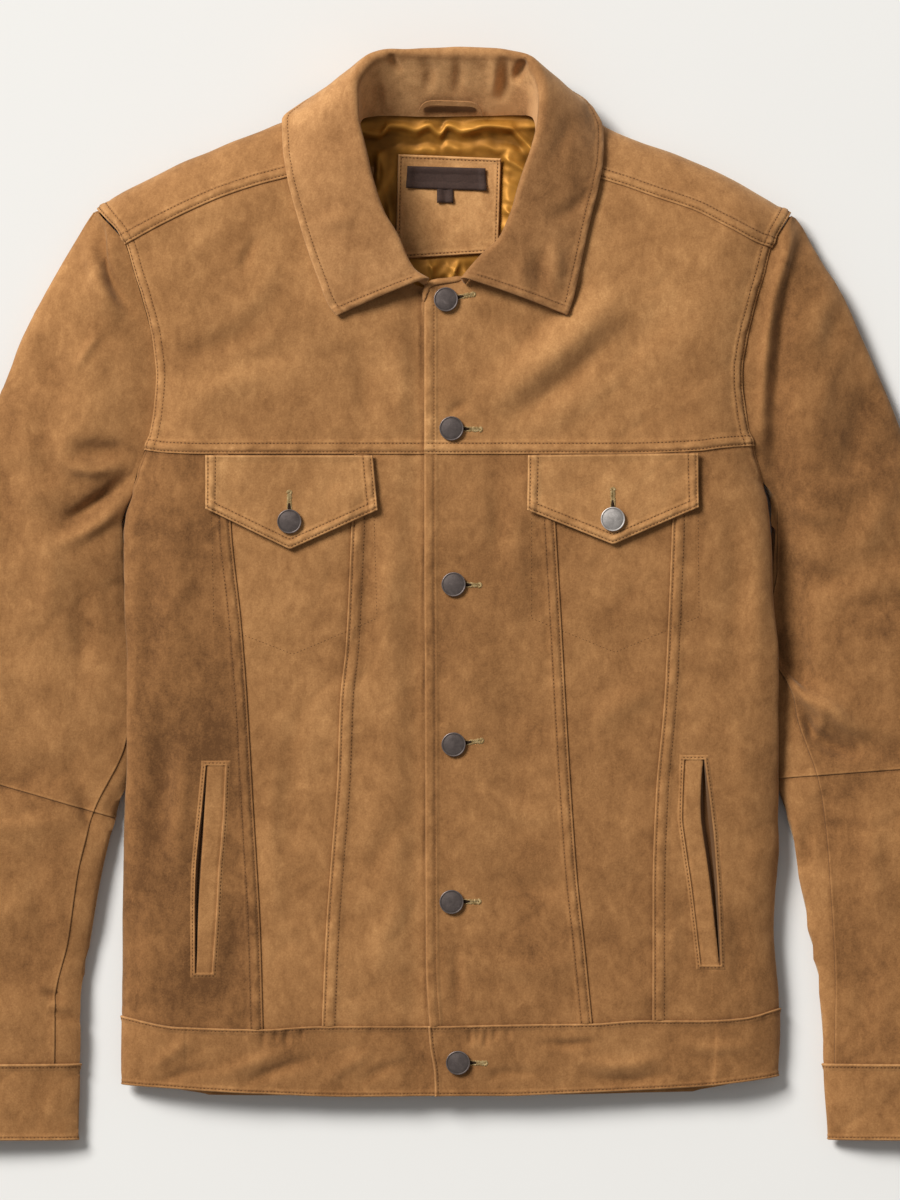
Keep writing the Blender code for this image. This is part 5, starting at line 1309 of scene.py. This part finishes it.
def build_fronts(hide):
    """Both fronts: yoke, side panel, the panel between the V seams, centre panel and hem band."""
    relief = top_relief(BODY_CREASES)
    for side in "LR":
        left = side == "L"
        outer, inner = (lambda y, n=side + n: look(VEE[n], y) for n in ("_out", "_in"))
        edge = FREE if left else ("placket", SEAM_ROWS["placket"])

        def side_relief(points, normals, window=WINDOWS[side]):
            inside = pit(points[..., 0], points[..., 1], window)
            return relief(points, normals) - WINDOW_DEPTH * ease((inside + 1.2) / 1.6)
        panel(f"front_yoke_{side}", front_yoke_point(side), (0.0, float(SHOULDER_LEVEL)), SUEDE, hide,
              dict(u0=lap("arm"), v0=lap("chest"), v1=UNDER, u1=NONE if left else (*edge, (0.0, 5.2))),
              relief, flip=not left)
        panel(f"front_side_{side}", front_side_point(side, outer), (0.0, len(SIDE_LEVELS[side]) - 1.0), SUEDE,
              hide, dict(u0=lap(side + "_out"), u1=lap("arm", (11.0, 15.0)), v0=UNDER, v1=UNDER), side_relief,
              flip=left)
        panel(f"front_vee_{side}", between(outer, inner, left), (0.0, 1.0), SUEDE, hide,
              dict(u0=UNDER, u1=UNDER, v0=UNDER, v1=UNDER), relief, flip=not left)
        panel(f"front_centre_{side}", between(inner, front_edge(side), left), (0.0, 1.0), SUEDE, hide,
              dict(u0=lap(side + "_in"), u1=edge, v0=UNDER, v1=UNDER), relief, flip=not left)
        panel(f"hem_front_{side}", hem_point(side), (0.0, 1.0), SUEDE, hide,
              dict(v1=lap("hem_top"), v0=rim("hem_edge"), u1=FREE if left else rim("hem_end")), relief,
              flip=not left, samples=((0.1, 0.4, 0.7), (0.1, 0.5, 0.9)), cell=1.5)


def build_back(hide):
    """The back panel, its hem band, and the yoke that comes over the shoulders to the front."""
    levels = {s: (*SIDE_LEVELS[s], *ARM_LEVELS[s][1:SEAM_LEVEL + 1]) for s in "LR"}
    read = [lambda v, s=s: np.interp(v, np.arange(len(levels[s])), levels[s]) for s in "LR"]
    low = [lambda v, s=s, x=x: mix(float(hem_y(x)), SIDE_LEVELS[s][0], v) for s, x in zip("LR", HEM_CORNERS)]

    def raised(points, normals):
        """The underside stays clear of the floor."""
        return -1.15 * ease(1 - points[..., 2] / 5)
    panel("back_panel", back_point(*read), (0.0, len(levels["L"]) - 1.0), SUEDE, hide,
          dict(v0=UNDER, v1=UNDER), raised, cell=4.5, flip=True)
    panel("hem_back", back_point(*low, band=True), (0.0, 1.0), SUEDE, hide,
          dict(v1=lap("hem_top"), v0=rim("hem_edge")), raised, cell=3.2, flip=True)
    left_end, right_end = ((neck["x"][-1] - YOKE_LEFT) / YOKE_WIDE for neck in (NECK_L, NECK_R))

    def yoke(u, v):
        """Between the neck's ends the rows stop under the collar."""
        neck = ease((u - left_end) / 0.02) * ease((right_end - u) / 0.02)
        return back_yoke_point(u, v * mix(1.0, NECK_YOKE_ROW / YOKE_ROW, neck))

    def yoke_relief(points, normals):
        return raised(points, -normals) + top_relief(BODY_CREASES)(points, normals)
    panel("back_yoke", yoke, (0.0, YOKE_ROW), SUEDE, hide,
          dict(v1=lap("shoulder"), v0=lap("chest"), u0=lap("arm"), u1=lap("arm")), yoke_relief, cell=3.0,
          flip=True, samples=((0.03, 0.15, 0.9), (0.05, 0.5, 0.95)))


def sleeve_surface(side, kind):
    """Places round a sleeve: 0 is the outer fold, 0 to 1 the top, 1 to 2 the underside."""
    def point(u, v):
        seam = smooth(v, TOP_SEAM["row"], TOP_SEAM[side])
        if kind == "main":
            r = mix(-UNDER_SEAM, 1.0, u)
            r = np.where(r > 0, r * seam, r)
        elif kind == "under":
            r = mix(seam - SEAM_TUCK, 2 - UNDER_SEAM, u)
        else:
            r = mix(-CUFF_SEAM, 2 - CUFF_SEAM, u)
        on_top = (r >= 0) & ((r < 1) if kind == "under" else (r <= 1))
        share = np.where(r < 0, -r, np.where(r <= 1, r, 2 - r))
        above, below = (sleeve_point(side, v, share, top) for top in (True, False))
        return tuple(np.where(on_top, a, b) for a, b in zip(above, below))
    return point


def build_sleeves(hide):
    """Each sleeve: two strips and their turned-under halves, seamed at the elbow, and a cuff."""
    relief = top_relief(SLEEVE_CREASES, 2.1, 2.4)
    elbow, cuff, end = float(ELBOW_ROW), float(CUFF_ROW), float(END_ROW)
    for side in "LR":
        for part, ends, tail in (("upper", (0.0, elbow), dict(v1=PLAIN, v0=NONE)),
                                 ("lower", (elbow, cuff), dict(v0=UNDER, v1=UNDER))):
            panel(f"sleeve_{part}_{side}", sleeve_surface(side, "main"), ends, SUEDE, hide,
                  dict(u1=("plain", (), (9.5, 20.0)), **tail), relief, cell=2.7, flip=side == "L")
            panel(f"sleeve_{part}_under_{side}", sleeve_surface(side, "under"), ends, SUEDE, hide,
                  dict(u0=UNDER, **tail), relief, cell=3.4, flip=side == "L")
        panel(f"cuff_{side}", sleeve_surface(side, "band"), (cuff, end), CUFF_WALL, hide,
              dict(v0=lap("cuff_top"), v1=rim("cuff_edge")), relief, flip=side == "L")


def build_collar(hide):
    """The collar with its stand, and the hanger loop on the stand."""
    def relief(points, normals):
        x, y = points[..., 0], points[..., 1]
        return (2.6 * crease_sum(x, y, COLLAR_CREASES) * ease((normals[..., 2] + 0.2) / 0.4)
                + 0.8 * noise(x, y, 34, 4) + 0.4 * noise(x, y, 13, 5))
    end = rim("collar", (0.5, 1.3))
    panel("collar", collar_point, (0.0, len(COLLAR) - 1.0), COLLAR_WALL, hide,
          dict(u1=rim("collar"), v0=end, v1=end), relief, "collar_suede", cell=2.2, flip=True,
          samples=((0.3, 0.6, 0.95), (0.1, 0.3, 0.5)))

    def loop(u, v):
        place = MIDDLE_SECTION + mix(-LOOP_HALF, LOOP_HALF, v) / SECTION_STEP
        rise = LOOP_RISE * (1 - np.abs(2 * v - 1) ** 6)
        return collar_point(STAND_END * (LOOP_START + rise + LOOP_WIDE * u) / STAND_HEIGHT, place)

    def off(points, normals):
        """The loop stands off the collar and sways a little."""
        return GAP + LABEL + 2.6 + 0.6 * np.sin(points[..., 0] / 7.0)
    keep(shell("hide_hanger_loop", loop, (0.0, 1.0), LABEL, hide, {}, off, cell=0.8, flip=True),
         "collar_suede", "hanger_loop")


def satin_folds(x, y):
    """The loose lining: a ruffle along the neck seam and crumples beside and below the patch."""
    def folds(degrees, size, seed):
        bend = 5.0 * noise(x, y, 30, seed + 5)
        a, b = turned(x, y, degrees, 3.4)
        return np.maximum(1 - np.sqrt(noise(a, b + bend, size, seed) ** 2 + 0.012), 0) ** 2.4
    right, top = ease((x + 10) / 40), ease((y - 306) / 14)
    aside = mix(folds(72, 12, 21) + 0.5 * folds(98, 7, 23),
                folds(-38, 12, 25) + 0.5 * folds(-22, 7, 27), right)
    sharp = mix(4.6 * aside, 2.4 * folds(4, 14, 29) + 0.7 * folds(-8, 9, 33), top) - 1.3
    soft = 1.9 * noise(x, y, 24, 23) + 0.35 * noise(x, y, 6, 24)
    beneath_collar = ease((y - 332) / 4.5)
    wave = y - look(RUFFLE, x, "y", "x")
    ruffle = 3.1 * bell(wave, 0, 3.1) - 2.0 * bell(wave, -8, 4.4)
    high = (sharp + soft) * ease(-pit(x, y, PATCH_BOX) / 7) + ruffle
    return np.maximum(high * (1 - beneath_collar) - 1.2 * beneath_collar, -1.0)


def build_lining(hide, gold, tape):
    """The satin of the back in the neck, the suede patch on it, and the bare label and tag."""
    def lining(points, normals):
        return 0.4 + satin_folds(points[..., 0], points[..., 1])

    def bowed(points, normals):
        x, y = points[..., 0], points[..., 1]
        return 1.5 + 0.5 * noise(x, y, 30, 31) + 0.25 * noise(x, y, 11, 32) - 0.7 * ease((250 - y) / 18)

    def on_patch(points, normals):
        return bowed(points, normals) + 0.25
    cloth("lining_back", shell("satin_back", on_lining(LINING_CORNERS, 0.0), (0.0, 1.0), SATIN, gold, {},
                               lining, cell=1.15), "satin_lining")
    edge = rim("patch")
    panel("label_patch", on_lining(PATCH_CORNERS, GAP + PATCH), (0.0, 1.0), PATCH, hide,
          dict(u0=edge, u1=edge, v0=edge, v1=edge), bowed, cell=1.8)
    top = GAP * 2 + PATCH + LABEL
    bare = ("rim", ())
    cloth("woven_label", shell("tape_woven_label", on_lining(LABEL_CORNERS, top), (0.0, 1.0), LABEL, tape,
                               dict(u0=bare, u1=bare, v0=bare, v1=bare), on_patch, cell=1.2), "woven_label")
    keep(shell("tape_size_tag", on_lining(TAG_CORNERS, top - 0.35), (0.0, 1.0), LABEL, tape,
               dict(u0=bare, u1=bare, v0=bare), on_patch, cell=1.0), "woven_label", "size_tag")


def build_flaps(hide):
    """The chest pockets' pointed flaps, tucked under the edge of the yoke."""
    body = top_relief(BODY_CREASES)

    def relief(points, normals):
        own = crease_sum(points[..., 0], points[..., 1], FLAP_CREASES)
        return body(points, normals) + GAP + FLAP_WALL + 1.7 + own
    for side in "LR":
        def flap(u, v, top=FLAPS[side]["top"], low=FLAPS[side]["bottom"]):
            x_low, y_low = (np.interp(u, (0, 0.5, 1), low[k::2]) for k in (0, 1))
            x, y = mix(x_low, mix(top[0], top[2], u), v), mix(y_low, mix(top[1], top[3], u) + FLAP_TUCK, v)
            return x, y, front_z(x, y)
        edge = rim("flap")
        panel(f"flap_{side}", flap, (0.0, 1.0), FLAP_WALL, hide, dict(u0=edge, u1=edge, v0=edge, v1=PLAIN),
              relief, cell=1.9)


def build_welts(hide):
    """The framed window of each hand pocket, the lip inside it and the slit beside the lip, deepened and
    painted dark as painted shade.
    """
    body = top_relief(BODY_CREASES)
    for side in "LR":
        window = WINDOWS[side]
        y_low, y_top = window["y"][0], window["y"][-1]

        def edges(y, window=window):
            """Across the window: the frame, the window, the lip, and out again."""
            left, lip_left, lip_right, right = (smooth(y, window["y"], window[k])
                                                for k in ("left", "lip_left", "lip_right", "right"))
            lip_left, lip_right = np.maximum(lip_left, left + 0.5), np.minimum(lip_right, right - 0.5)
            return left - WELT_BAND, left, lip_left, lip_right, right, right + WELT_BAND

        def welt(u, v, y_low=y_low, y_top=y_top, edges=edges):
            y = mix(y_low - WELT_BAND, y_top + WELT_BAND, v)
            x = sum((b - a) * np.clip((u - start) / (end - start), 0, 1) for a, b, start, end
                    in zip(edges(y), edges(y)[1:], WELT_SHARES, WELT_SHARES[1:])) + edges(y)[0]
            return x, y, front_z(x, y)

        def relief(points, normals, window=window, edges=edges):
            x, y = points[..., 0], points[..., 1]
            out = -pit(x, y, window)
            _, left, lip_left, lip_right, right, _ = edges(y)

            def gap(inset, wide):
                """1 in the slit between the window's edge and the lip, where it is wide enough."""
                share = inset / wide
                return ease(share / 0.3) * ease((1.02 - share) / 0.3) * ease((wide - 0.7) / 0.5)
            band = (0.8 * ease((out + 0.1) / 0.5) * (1 - ease((out - 1.5) / 2.0)) - 0.35 * bell(out, 2.0, 0.6)
                    - 0.75 * ease((out - 3.2) / 1.2) + 0.25)
            slit = np.maximum(gap(x - left, lip_left - left), gap(right - x, right - lip_right))
            lip = np.clip(np.minimum(x - lip_left, lip_right - x), 0, 9)
            inner = 0.35 + 0.25 * noise(x, y, 12, 41) - 0.5 * bell(lip, 0, 0.9) - WINDOW_SLIT * slit
            return body(points, normals) + np.where(out < 0, inner, band)
        obj = shell(f"hide_welt_{side}", welt, (0.0, 1.0), PATCH, hide, {}, relief, cell=0.75)
        x, y = (PANELS[obj.name]["points"][..., k] for k in (0, 1))
        lip_left, lip_right = (smooth(y, window["y"], window[k]) for k in ("lip_left", "lip_right"))
        d, lip = pit(x, y, window), np.minimum(x - lip_left, lip_right - x)
        # The frame painted pale at the window's edge, rubbed nap and painted highlight, and dark at its row
        # of stitches; the slit painted deep dark as painted shade
        frame_rub_and_shade = 0.4 * bell(d, -0.7, 0.6) - 0.35 * bell(d, -2.0, 0.5)
        rub_and_shade = np.where(d > 0, np.where(lip > 0, 0.05, -3.0), frame_rub_and_shade)
        data = obj.data.attributes["wear_and_shade"].data
        values = np.zeros(len(data), np.float32)
        data.foreach_get("value", values)
        values[:rub_and_shade.size] += rub_and_shade.ravel()
        data.foreach_set("value", values)
        cloth(f"welt_{side}", obj)


def build_stitches():
    """The rows of stitches along the seams and edges of the pieces."""
    for side, yoke_edge in (("L", "u0"), ("R", "u1")):
        right = side == "R"
        yoke, hem, cuff = (f"{piece}_{side}" for piece in ("front_yoke", "hem_front", "cuff"))
        sew_rows("threads_body", yoke, "u0", "arm", (1.5, 0))
        sew_rows("threads_body", "back_yoke", yoke_edge, "arm", span=(3.0, 11.0))
        sew_rows("threads_body", yoke, "v0", "chest", (2.0, 0.5 if right else OVERLAP))
        sew_rows("threads_body", f"front_side_{side}", "u0", side + "_out")
        sew_rows("threads_body", f"front_centre_{side}", "u0", side + "_in")
        sew_rows("threads_body", hem, "v1", "hem_top", (0, 1.0 if right else HEM_LAP))
        sew_rows("threads_body", hem, "v0", "hem_edge", (0, 2.0 if right else HEM_LAP))
        sew_rows("threads_sleeves", cuff, "v0", "cuff_top")
        sew_rows("threads_sleeves", cuff, "v1", "cuff_edge")
        for edge, trim in (("u0", (None, 1.0)), ("u1", (None, 1.0)), ("v0", (None, None))):
            sew_rows("threads_pockets", f"flap_{side}", edge, "flap", trim)
    for d in SEAM_ROWS["shoulder"]:
        line, up = seam_line("hide_back_yoke", "v1", d, (1.0, 1.0))
        for kept in (line[:, 0] < -NECK_HALF, line[:, 0] > NECK_HALF):
            sew("threads_body", line[kept], up[kept])
    sew_rows("threads_back", "hem_back", "v1", "hem_top")
    sew_rows("threads_back", "back_yoke", "v0", "chest", (4, 4))
    sew_rows("threads_body", "front_yoke_R", "u1", "placket", (2.0, 0.0), (0.0, 4.6))
    sew_rows("threads_body", "front_centre_R", "u1", "placket", length=1.0, radius=0.28, sunk=0.2)
    sew_rows("threads_body", "hem_front_R", "u1", "hem_end", (2.0, 1.0))
    sew_rows("threads_collar", "collar", "u1", "collar", (None, None), pitch=2.5, radius=0.38)
    for edge in ("v0", "v1"):
        sew_rows("threads_collar", "collar", edge, "collar", (0, None), (0.60, 1.0), pitch=2.5, radius=0.38)
    for edge in ("u0", "u1", "v0", "v1"):
        sew_rows("threads_collar", "label_patch", edge, "patch", (None, None))


class Top:
    """Finds the topmost cloth under a point in plan."""

    def __init__(self, names):
        verts, faces = [], []
        for name in names:
            p = PANELS[name]["points"]
            ids = len(verts) + np.arange(p[..., 0].size).reshape(p.shape[:2])
            verts += p.reshape(-1, 3).tolist()
            faces += grid_faces(ids).tolist()
        self.tree = BVHTree.FromPolygons(verts, faces)

    def at(self, x, y):
        """The topmost point under a place, and the cloth's normal there."""
        spot, normal, _, _ = self.tree.ray_cast(Vector((x, y, 120)), Vector((0, 0, -1)))
        return np.array(spot), np.array(normal if normal.z > 0 else -normal)

    def path(self, points, step=1.2):
        """The cloth's surface along a path given in plan."""
        points = np.asarray(points, float)
        run = run_of(points)
        s = np.arange(0, run[-1] + step / 2, step)
        found = [self.at(*(np.interp(t, run, points[:, k]) for k in (0, 1))) for t in s]
        return tuple(np.array(part) for part in zip(*found))


def build_plan_stitches(top):
    """Stitching that crosses the panels: the pocket bags and the frames of the windows."""
    for path in POCKET_BAGS:
        sew("threads_pockets", *top.path(path), length=1.4, sunk=0.2, radius=0.28)
    for window in WINDOWS.values():
        ys = np.linspace(window["y"][0] - FRAME_ROW, window["y"][-1] + FRAME_ROW, 60)
        left, right = ([(float(smooth(y, window["y"], window[k])) + aside, y) for y in ys]
                       for k, aside in (("left", -FRAME_ROW), ("right", FRAME_ROW)))
        for path in (left, right, (left[0], right[0]), (left[-1], right[-1])):
            sew("threads_pockets", *top.path(path, 0.8))


def build_neck_fold(top, hide):
    """The turned edge of the placket round its corner at the neck, as a flat roll on the yoke."""
    line, up = top.path(NECK_FOLD, 1.0)
    way = np.gradient(line, axis=0)
    way /= np.linalg.norm(way, axis=1, keepdims=True)
    side = np.cross(up, way)
    half_wide, half_high = NECK_FOLD_SIZE
    verts, wear_and_shade, sides = [], [], 14
    for k, t in enumerate(np.linspace(0, 1, len(line))):
        full = float(ease(t / 0.12) * ease((1 - t) / 0.12))
        wave = 1 + 0.22 * noise(t * 40.0, 0.0, 7.0, 51)
        for q in range(sides):
            turn = 2 * math.pi * q / sides
            verts.append(line[k] + side[k] * half_wide * wave * (0.5 + 0.5 * full) * math.cos(turn)
                         + up[k] * half_high * wave * full * (math.sin(turn) + 0.1))
            # the roll's upper side painted pale, rubbed nap and painted highlight, and the rest a little dark
            # as painted shade
            wear_and_shade.append(0.55 * max(0.0, math.sin(turn)) - 0.2)
    faces = [(a, b, c, d) for a, d, c, b in tube_faces(0, len(line), sides)]
    faces += [tuple(range(sides - 1, -1, -1)), tuple(range((len(line) - 1) * sides, len(line) * sides))]
    keep(add_mesh("hide_neck_fold", np.array(verts), faces, hide, wear_and_shade=np.array(wear_and_shade)), "suede")


def build_buttonholes(top, dark):
    """Whip-stitched keyholes: a slit drawn as a thin sheet of painted shade, with gold thread close on both
    sides and round its end.
    """
    verts, faces = [], []
    for x, y, way, length in BUTTONS.values():
        ux, uy = math.cos(math.radians(way)), math.sin(math.radians(way))

        def on_cloth(t, q, lift):
            """`t` along the slit and `q` to its left: the point lifted off the cloth, and the normal."""
            spot, normal = top.at(x + ux * t - uy * q, y + uy * t + ux * q)
            return spot + normal * lift, normal
        base, steps = len(verts), 20
        for t in np.linspace(0, length, steps):
            gape = SLIT_HALF + SLIT_GAPE * ease((SLIT_OPEN - t) / SLIT_CLOSING)
            half = EYE_HALF if t > length - EYE_LONG else gape
            verts += [on_cloth(t, q, 0.10)[0] for q in (-half, half)]
        faces += [(i, i + 2, i + 3, i + 1) for i in range(base, base + 2 * steps - 2, 2)]
        starts, ends, ups = [], [], []
        count = int(length / WHIP_PITCH)
        for k in range(count):
            t = (k + 0.5) / count * length
            for flank in (-1, 1):
                wobble = 0.25 * noise(k * 1.0, flank * 3.0, 1.1, x)
                lean = 0.35 * noise(k * 1.0, flank * 5.0, 1.3, y)
                beside = 0.3 + SLIT_GAPE * ease((SLIT_OPEN - t) / SLIT_CLOSING)
                near = beside if t < SLIT_OPEN - 1.0 else -0.15
                starts.append(on_cloth(t, near * flank, 0.25)[0])
                spot, normal = on_cloth(t + lean, (WHIP_REACH + 2 * wobble) * flank, 0.05)
                ends.append(spot)
                ups.append(normal)
        for k in range(EYE_THREADS):
            turn = math.radians(way - 90 + 180 * k / (EYE_THREADS - 1))
            vx, vy = math.cos(turn), math.sin(turn)
            for places, q, lift in ((starts, 0.5, 0.25), (ends, 2.3, 0.05)):
                spot, normal = top.at(x + ux * length + vx * q, y + uy * length + vy * q)
                places.append(spot + normal * lift)
            ups.append(normal)
        tie("threads_buttonholes", starts, ends, ups, 0.27)
    # a thin dark sheet on the cloth: painted shade in the slit
    obj = add_mesh("buttonhole_slit_shade", np.array(verts), faces, dark)
    thick = obj.modifiers.new("thick", "SOLIDIFY")
    thick.thickness, thick.offset = 0.3 * MM, 0.0
    keep(obj, "suede")


def build_buttons(top, metal, bright):
    """Pressed metal buttons: a rolled rim round a shallow dish, on a narrower foot."""
    r = BUTTON_D / 2
    turns = [2 * math.pi * k / BUTTON_SIDES for k in range(BUTTON_SIDES)]
    rings = len(BUTTON_PROFILE) - 2
    for name, (x, y, _, _) in BUTTONS.items():
        round_it = np.linspace(0, 2 * math.pi, 13)[:-1]
        points = np.array([top.at(x + r * math.cos(t), y + r * math.sin(t))[0] for t in round_it])
        centre = points.mean(axis=0)
        plane = np.linalg.svd(points - centre)[2][2]
        up = plane * np.sign(plane[2])
        seat = centre + up * (np.max((points - centre) @ up) - BUTTON_SUNK)
        seat[:2] = x, y
        side = np.cross((0, 1, 0), up)
        side /= np.linalg.norm(side)
        ahead = np.cross(up, side)
        verts, wear_and_shade = [], []
        for share, high, rub_and_shade in BUTTON_PROFILE[1:-1]:
            rho = r * share
            for t in turns:
                dent = 0.05 * noise(rho * math.cos(t), rho * math.sin(t), 3.5, x)
                verts.append(seat + side * rho * math.cos(t) + ahead * rho * math.sin(t) + up * (high + dent))
                wear_and_shade.append(rub_and_shade)
        faces = tube_faces(0, rings, BUTTON_SIDES)
        for ring, high, way in ((0, BUTTON_PROFILE[0][1], 1), (rings - 1, BUTTON_PROFILE[-1][1], -1)):
            hub = len(verts)
            verts.append(seat + up * high)
            wear_and_shade.append(0.0)
            for k in range(BUTTON_SIDES):
                a, b = (ring * BUTTON_SIDES + q % BUTTON_SIDES for q in (k, k + 1))
                faces.append((hub, a, b)[::way])
        mat = bright if name == BRIGHT_BUTTON else metal
        keep(add_mesh("metal_" + name, np.array(verts), faces, mat, angle=70, wear_and_shade=np.array(wear_and_shade)),
             "button_metal", name)


# ---------------------------------------------------------------- the studio
def build_studio():
    """The paper floor, the camera straight above, one large soft lamp and the light of the room."""
    scene = bpy.context.scene
    corners = [(x * FLOOR_HALF, y * FLOOR_HALF, -FLOOR_DROP) for x, y in ((-1, -1), (1, -1), (1, 1), (-1, 1))]
    floor_mesh = bpy.data.meshes.new("floor")
    floor_mesh.from_pydata(corners, [], [(0, 1, 2, 3)])
    floor_mesh.materials.append(plain("floor_paper", 90, FLOOR_COLOUR, tone(FLOOR_COLOUR, 1.006)))
    floor = bpy.data.objects.new("floor", floor_mesh)
    scene.collection.objects.link(floor)

    camera = bpy.data.cameras.new("camera")
    camera.sensor_fit, camera.sensor_height, camera.sensor_width = "VERTICAL", SENSOR, SENSOR * 0.75
    camera.lens = SENSOR / 2 * (CAMERA_HEIGHT - CLOTH_LEVEL) / FRAME_HALF
    camera.clip_end = 50.0
    eye = bpy.data.objects.new("camera", camera)
    eye.location = (0.0, -0.003, CAMERA_HEIGHT)
    scene.collection.objects.link(eye)
    scene.camera = eye

    light = bpy.data.lights.new("key", "AREA")
    light.shape, light.size, light.size_y = "RECTANGLE", LAMP_SIZE, LAMP_SIZE
    light.energy, light.color = LAMP_WATTS, LAMP_COLOUR
    lamp = bpy.data.objects.new("key", light)
    lamp.location = LAMP_PLACE
    lamp.rotation_euler = (-Vector(LAMP_PLACE)).to_track_quat("-Z", "Y").to_euler()
    scene.collection.objects.link(lamp)
    world = bpy.data.worlds.new("studio")
    world.use_nodes = True
    background = world.node_tree.nodes["Background"].inputs
    background["Color"].default_value = (*WORLD_COLOUR, 1)
    background["Strength"].default_value = WORLD_STRENGTH
    scene.world = world
    scene.view_settings.view_transform = "Standard"
    scene.view_settings.look = "None"


def main():
    """Builds the studio, the looks and every piece."""
    build_studio()
    hide = suede("suede", SUEDE_COLOUR, 38)
    collar_hide = suede("collar_suede", COLLAR_COLOUR, 115)
    gold, tape = satin(), woven()
    dark = plain("deep_shade", 2.0, *SHADE_COLOURS)
    metal = antique_metal("antique_metal", METAL_COLOUR)
    bright = antique_metal("rubbed_metal", RUBBED_COLOUR)
    brown = thread("thread_brown", *BROWN_THREAD)
    yellow = thread("thread_gold", *GOLD_THREAD, 0.55)
    build_fronts(hide)
    build_back(hide)
    build_sleeves(hide)
    build_collar(collar_hide)
    build_lining(hide, gold, tape)
    build_flaps(hide)
    build_welts(hide)
    build_stitches()
    top = Top([f"hide_{piece}_{side}" for side in "LR" for piece in
               ("front_yoke", "front_side", "front_vee", "front_centre", "hem_front", "flap", "welt")])
    build_plan_stitches(top)
    build_neck_fold(top, hide)
    for group in ("threads_body", "threads_sleeves", "threads_pockets", "threads_collar", "threads_back"):
        keep(build_threads(group, brown), "suede")
    build_buttonholes(top, dark)
    keep(build_threads("threads_buttonholes", yellow), "satin_lining")
    build_buttons(top, metal, bright)


main()
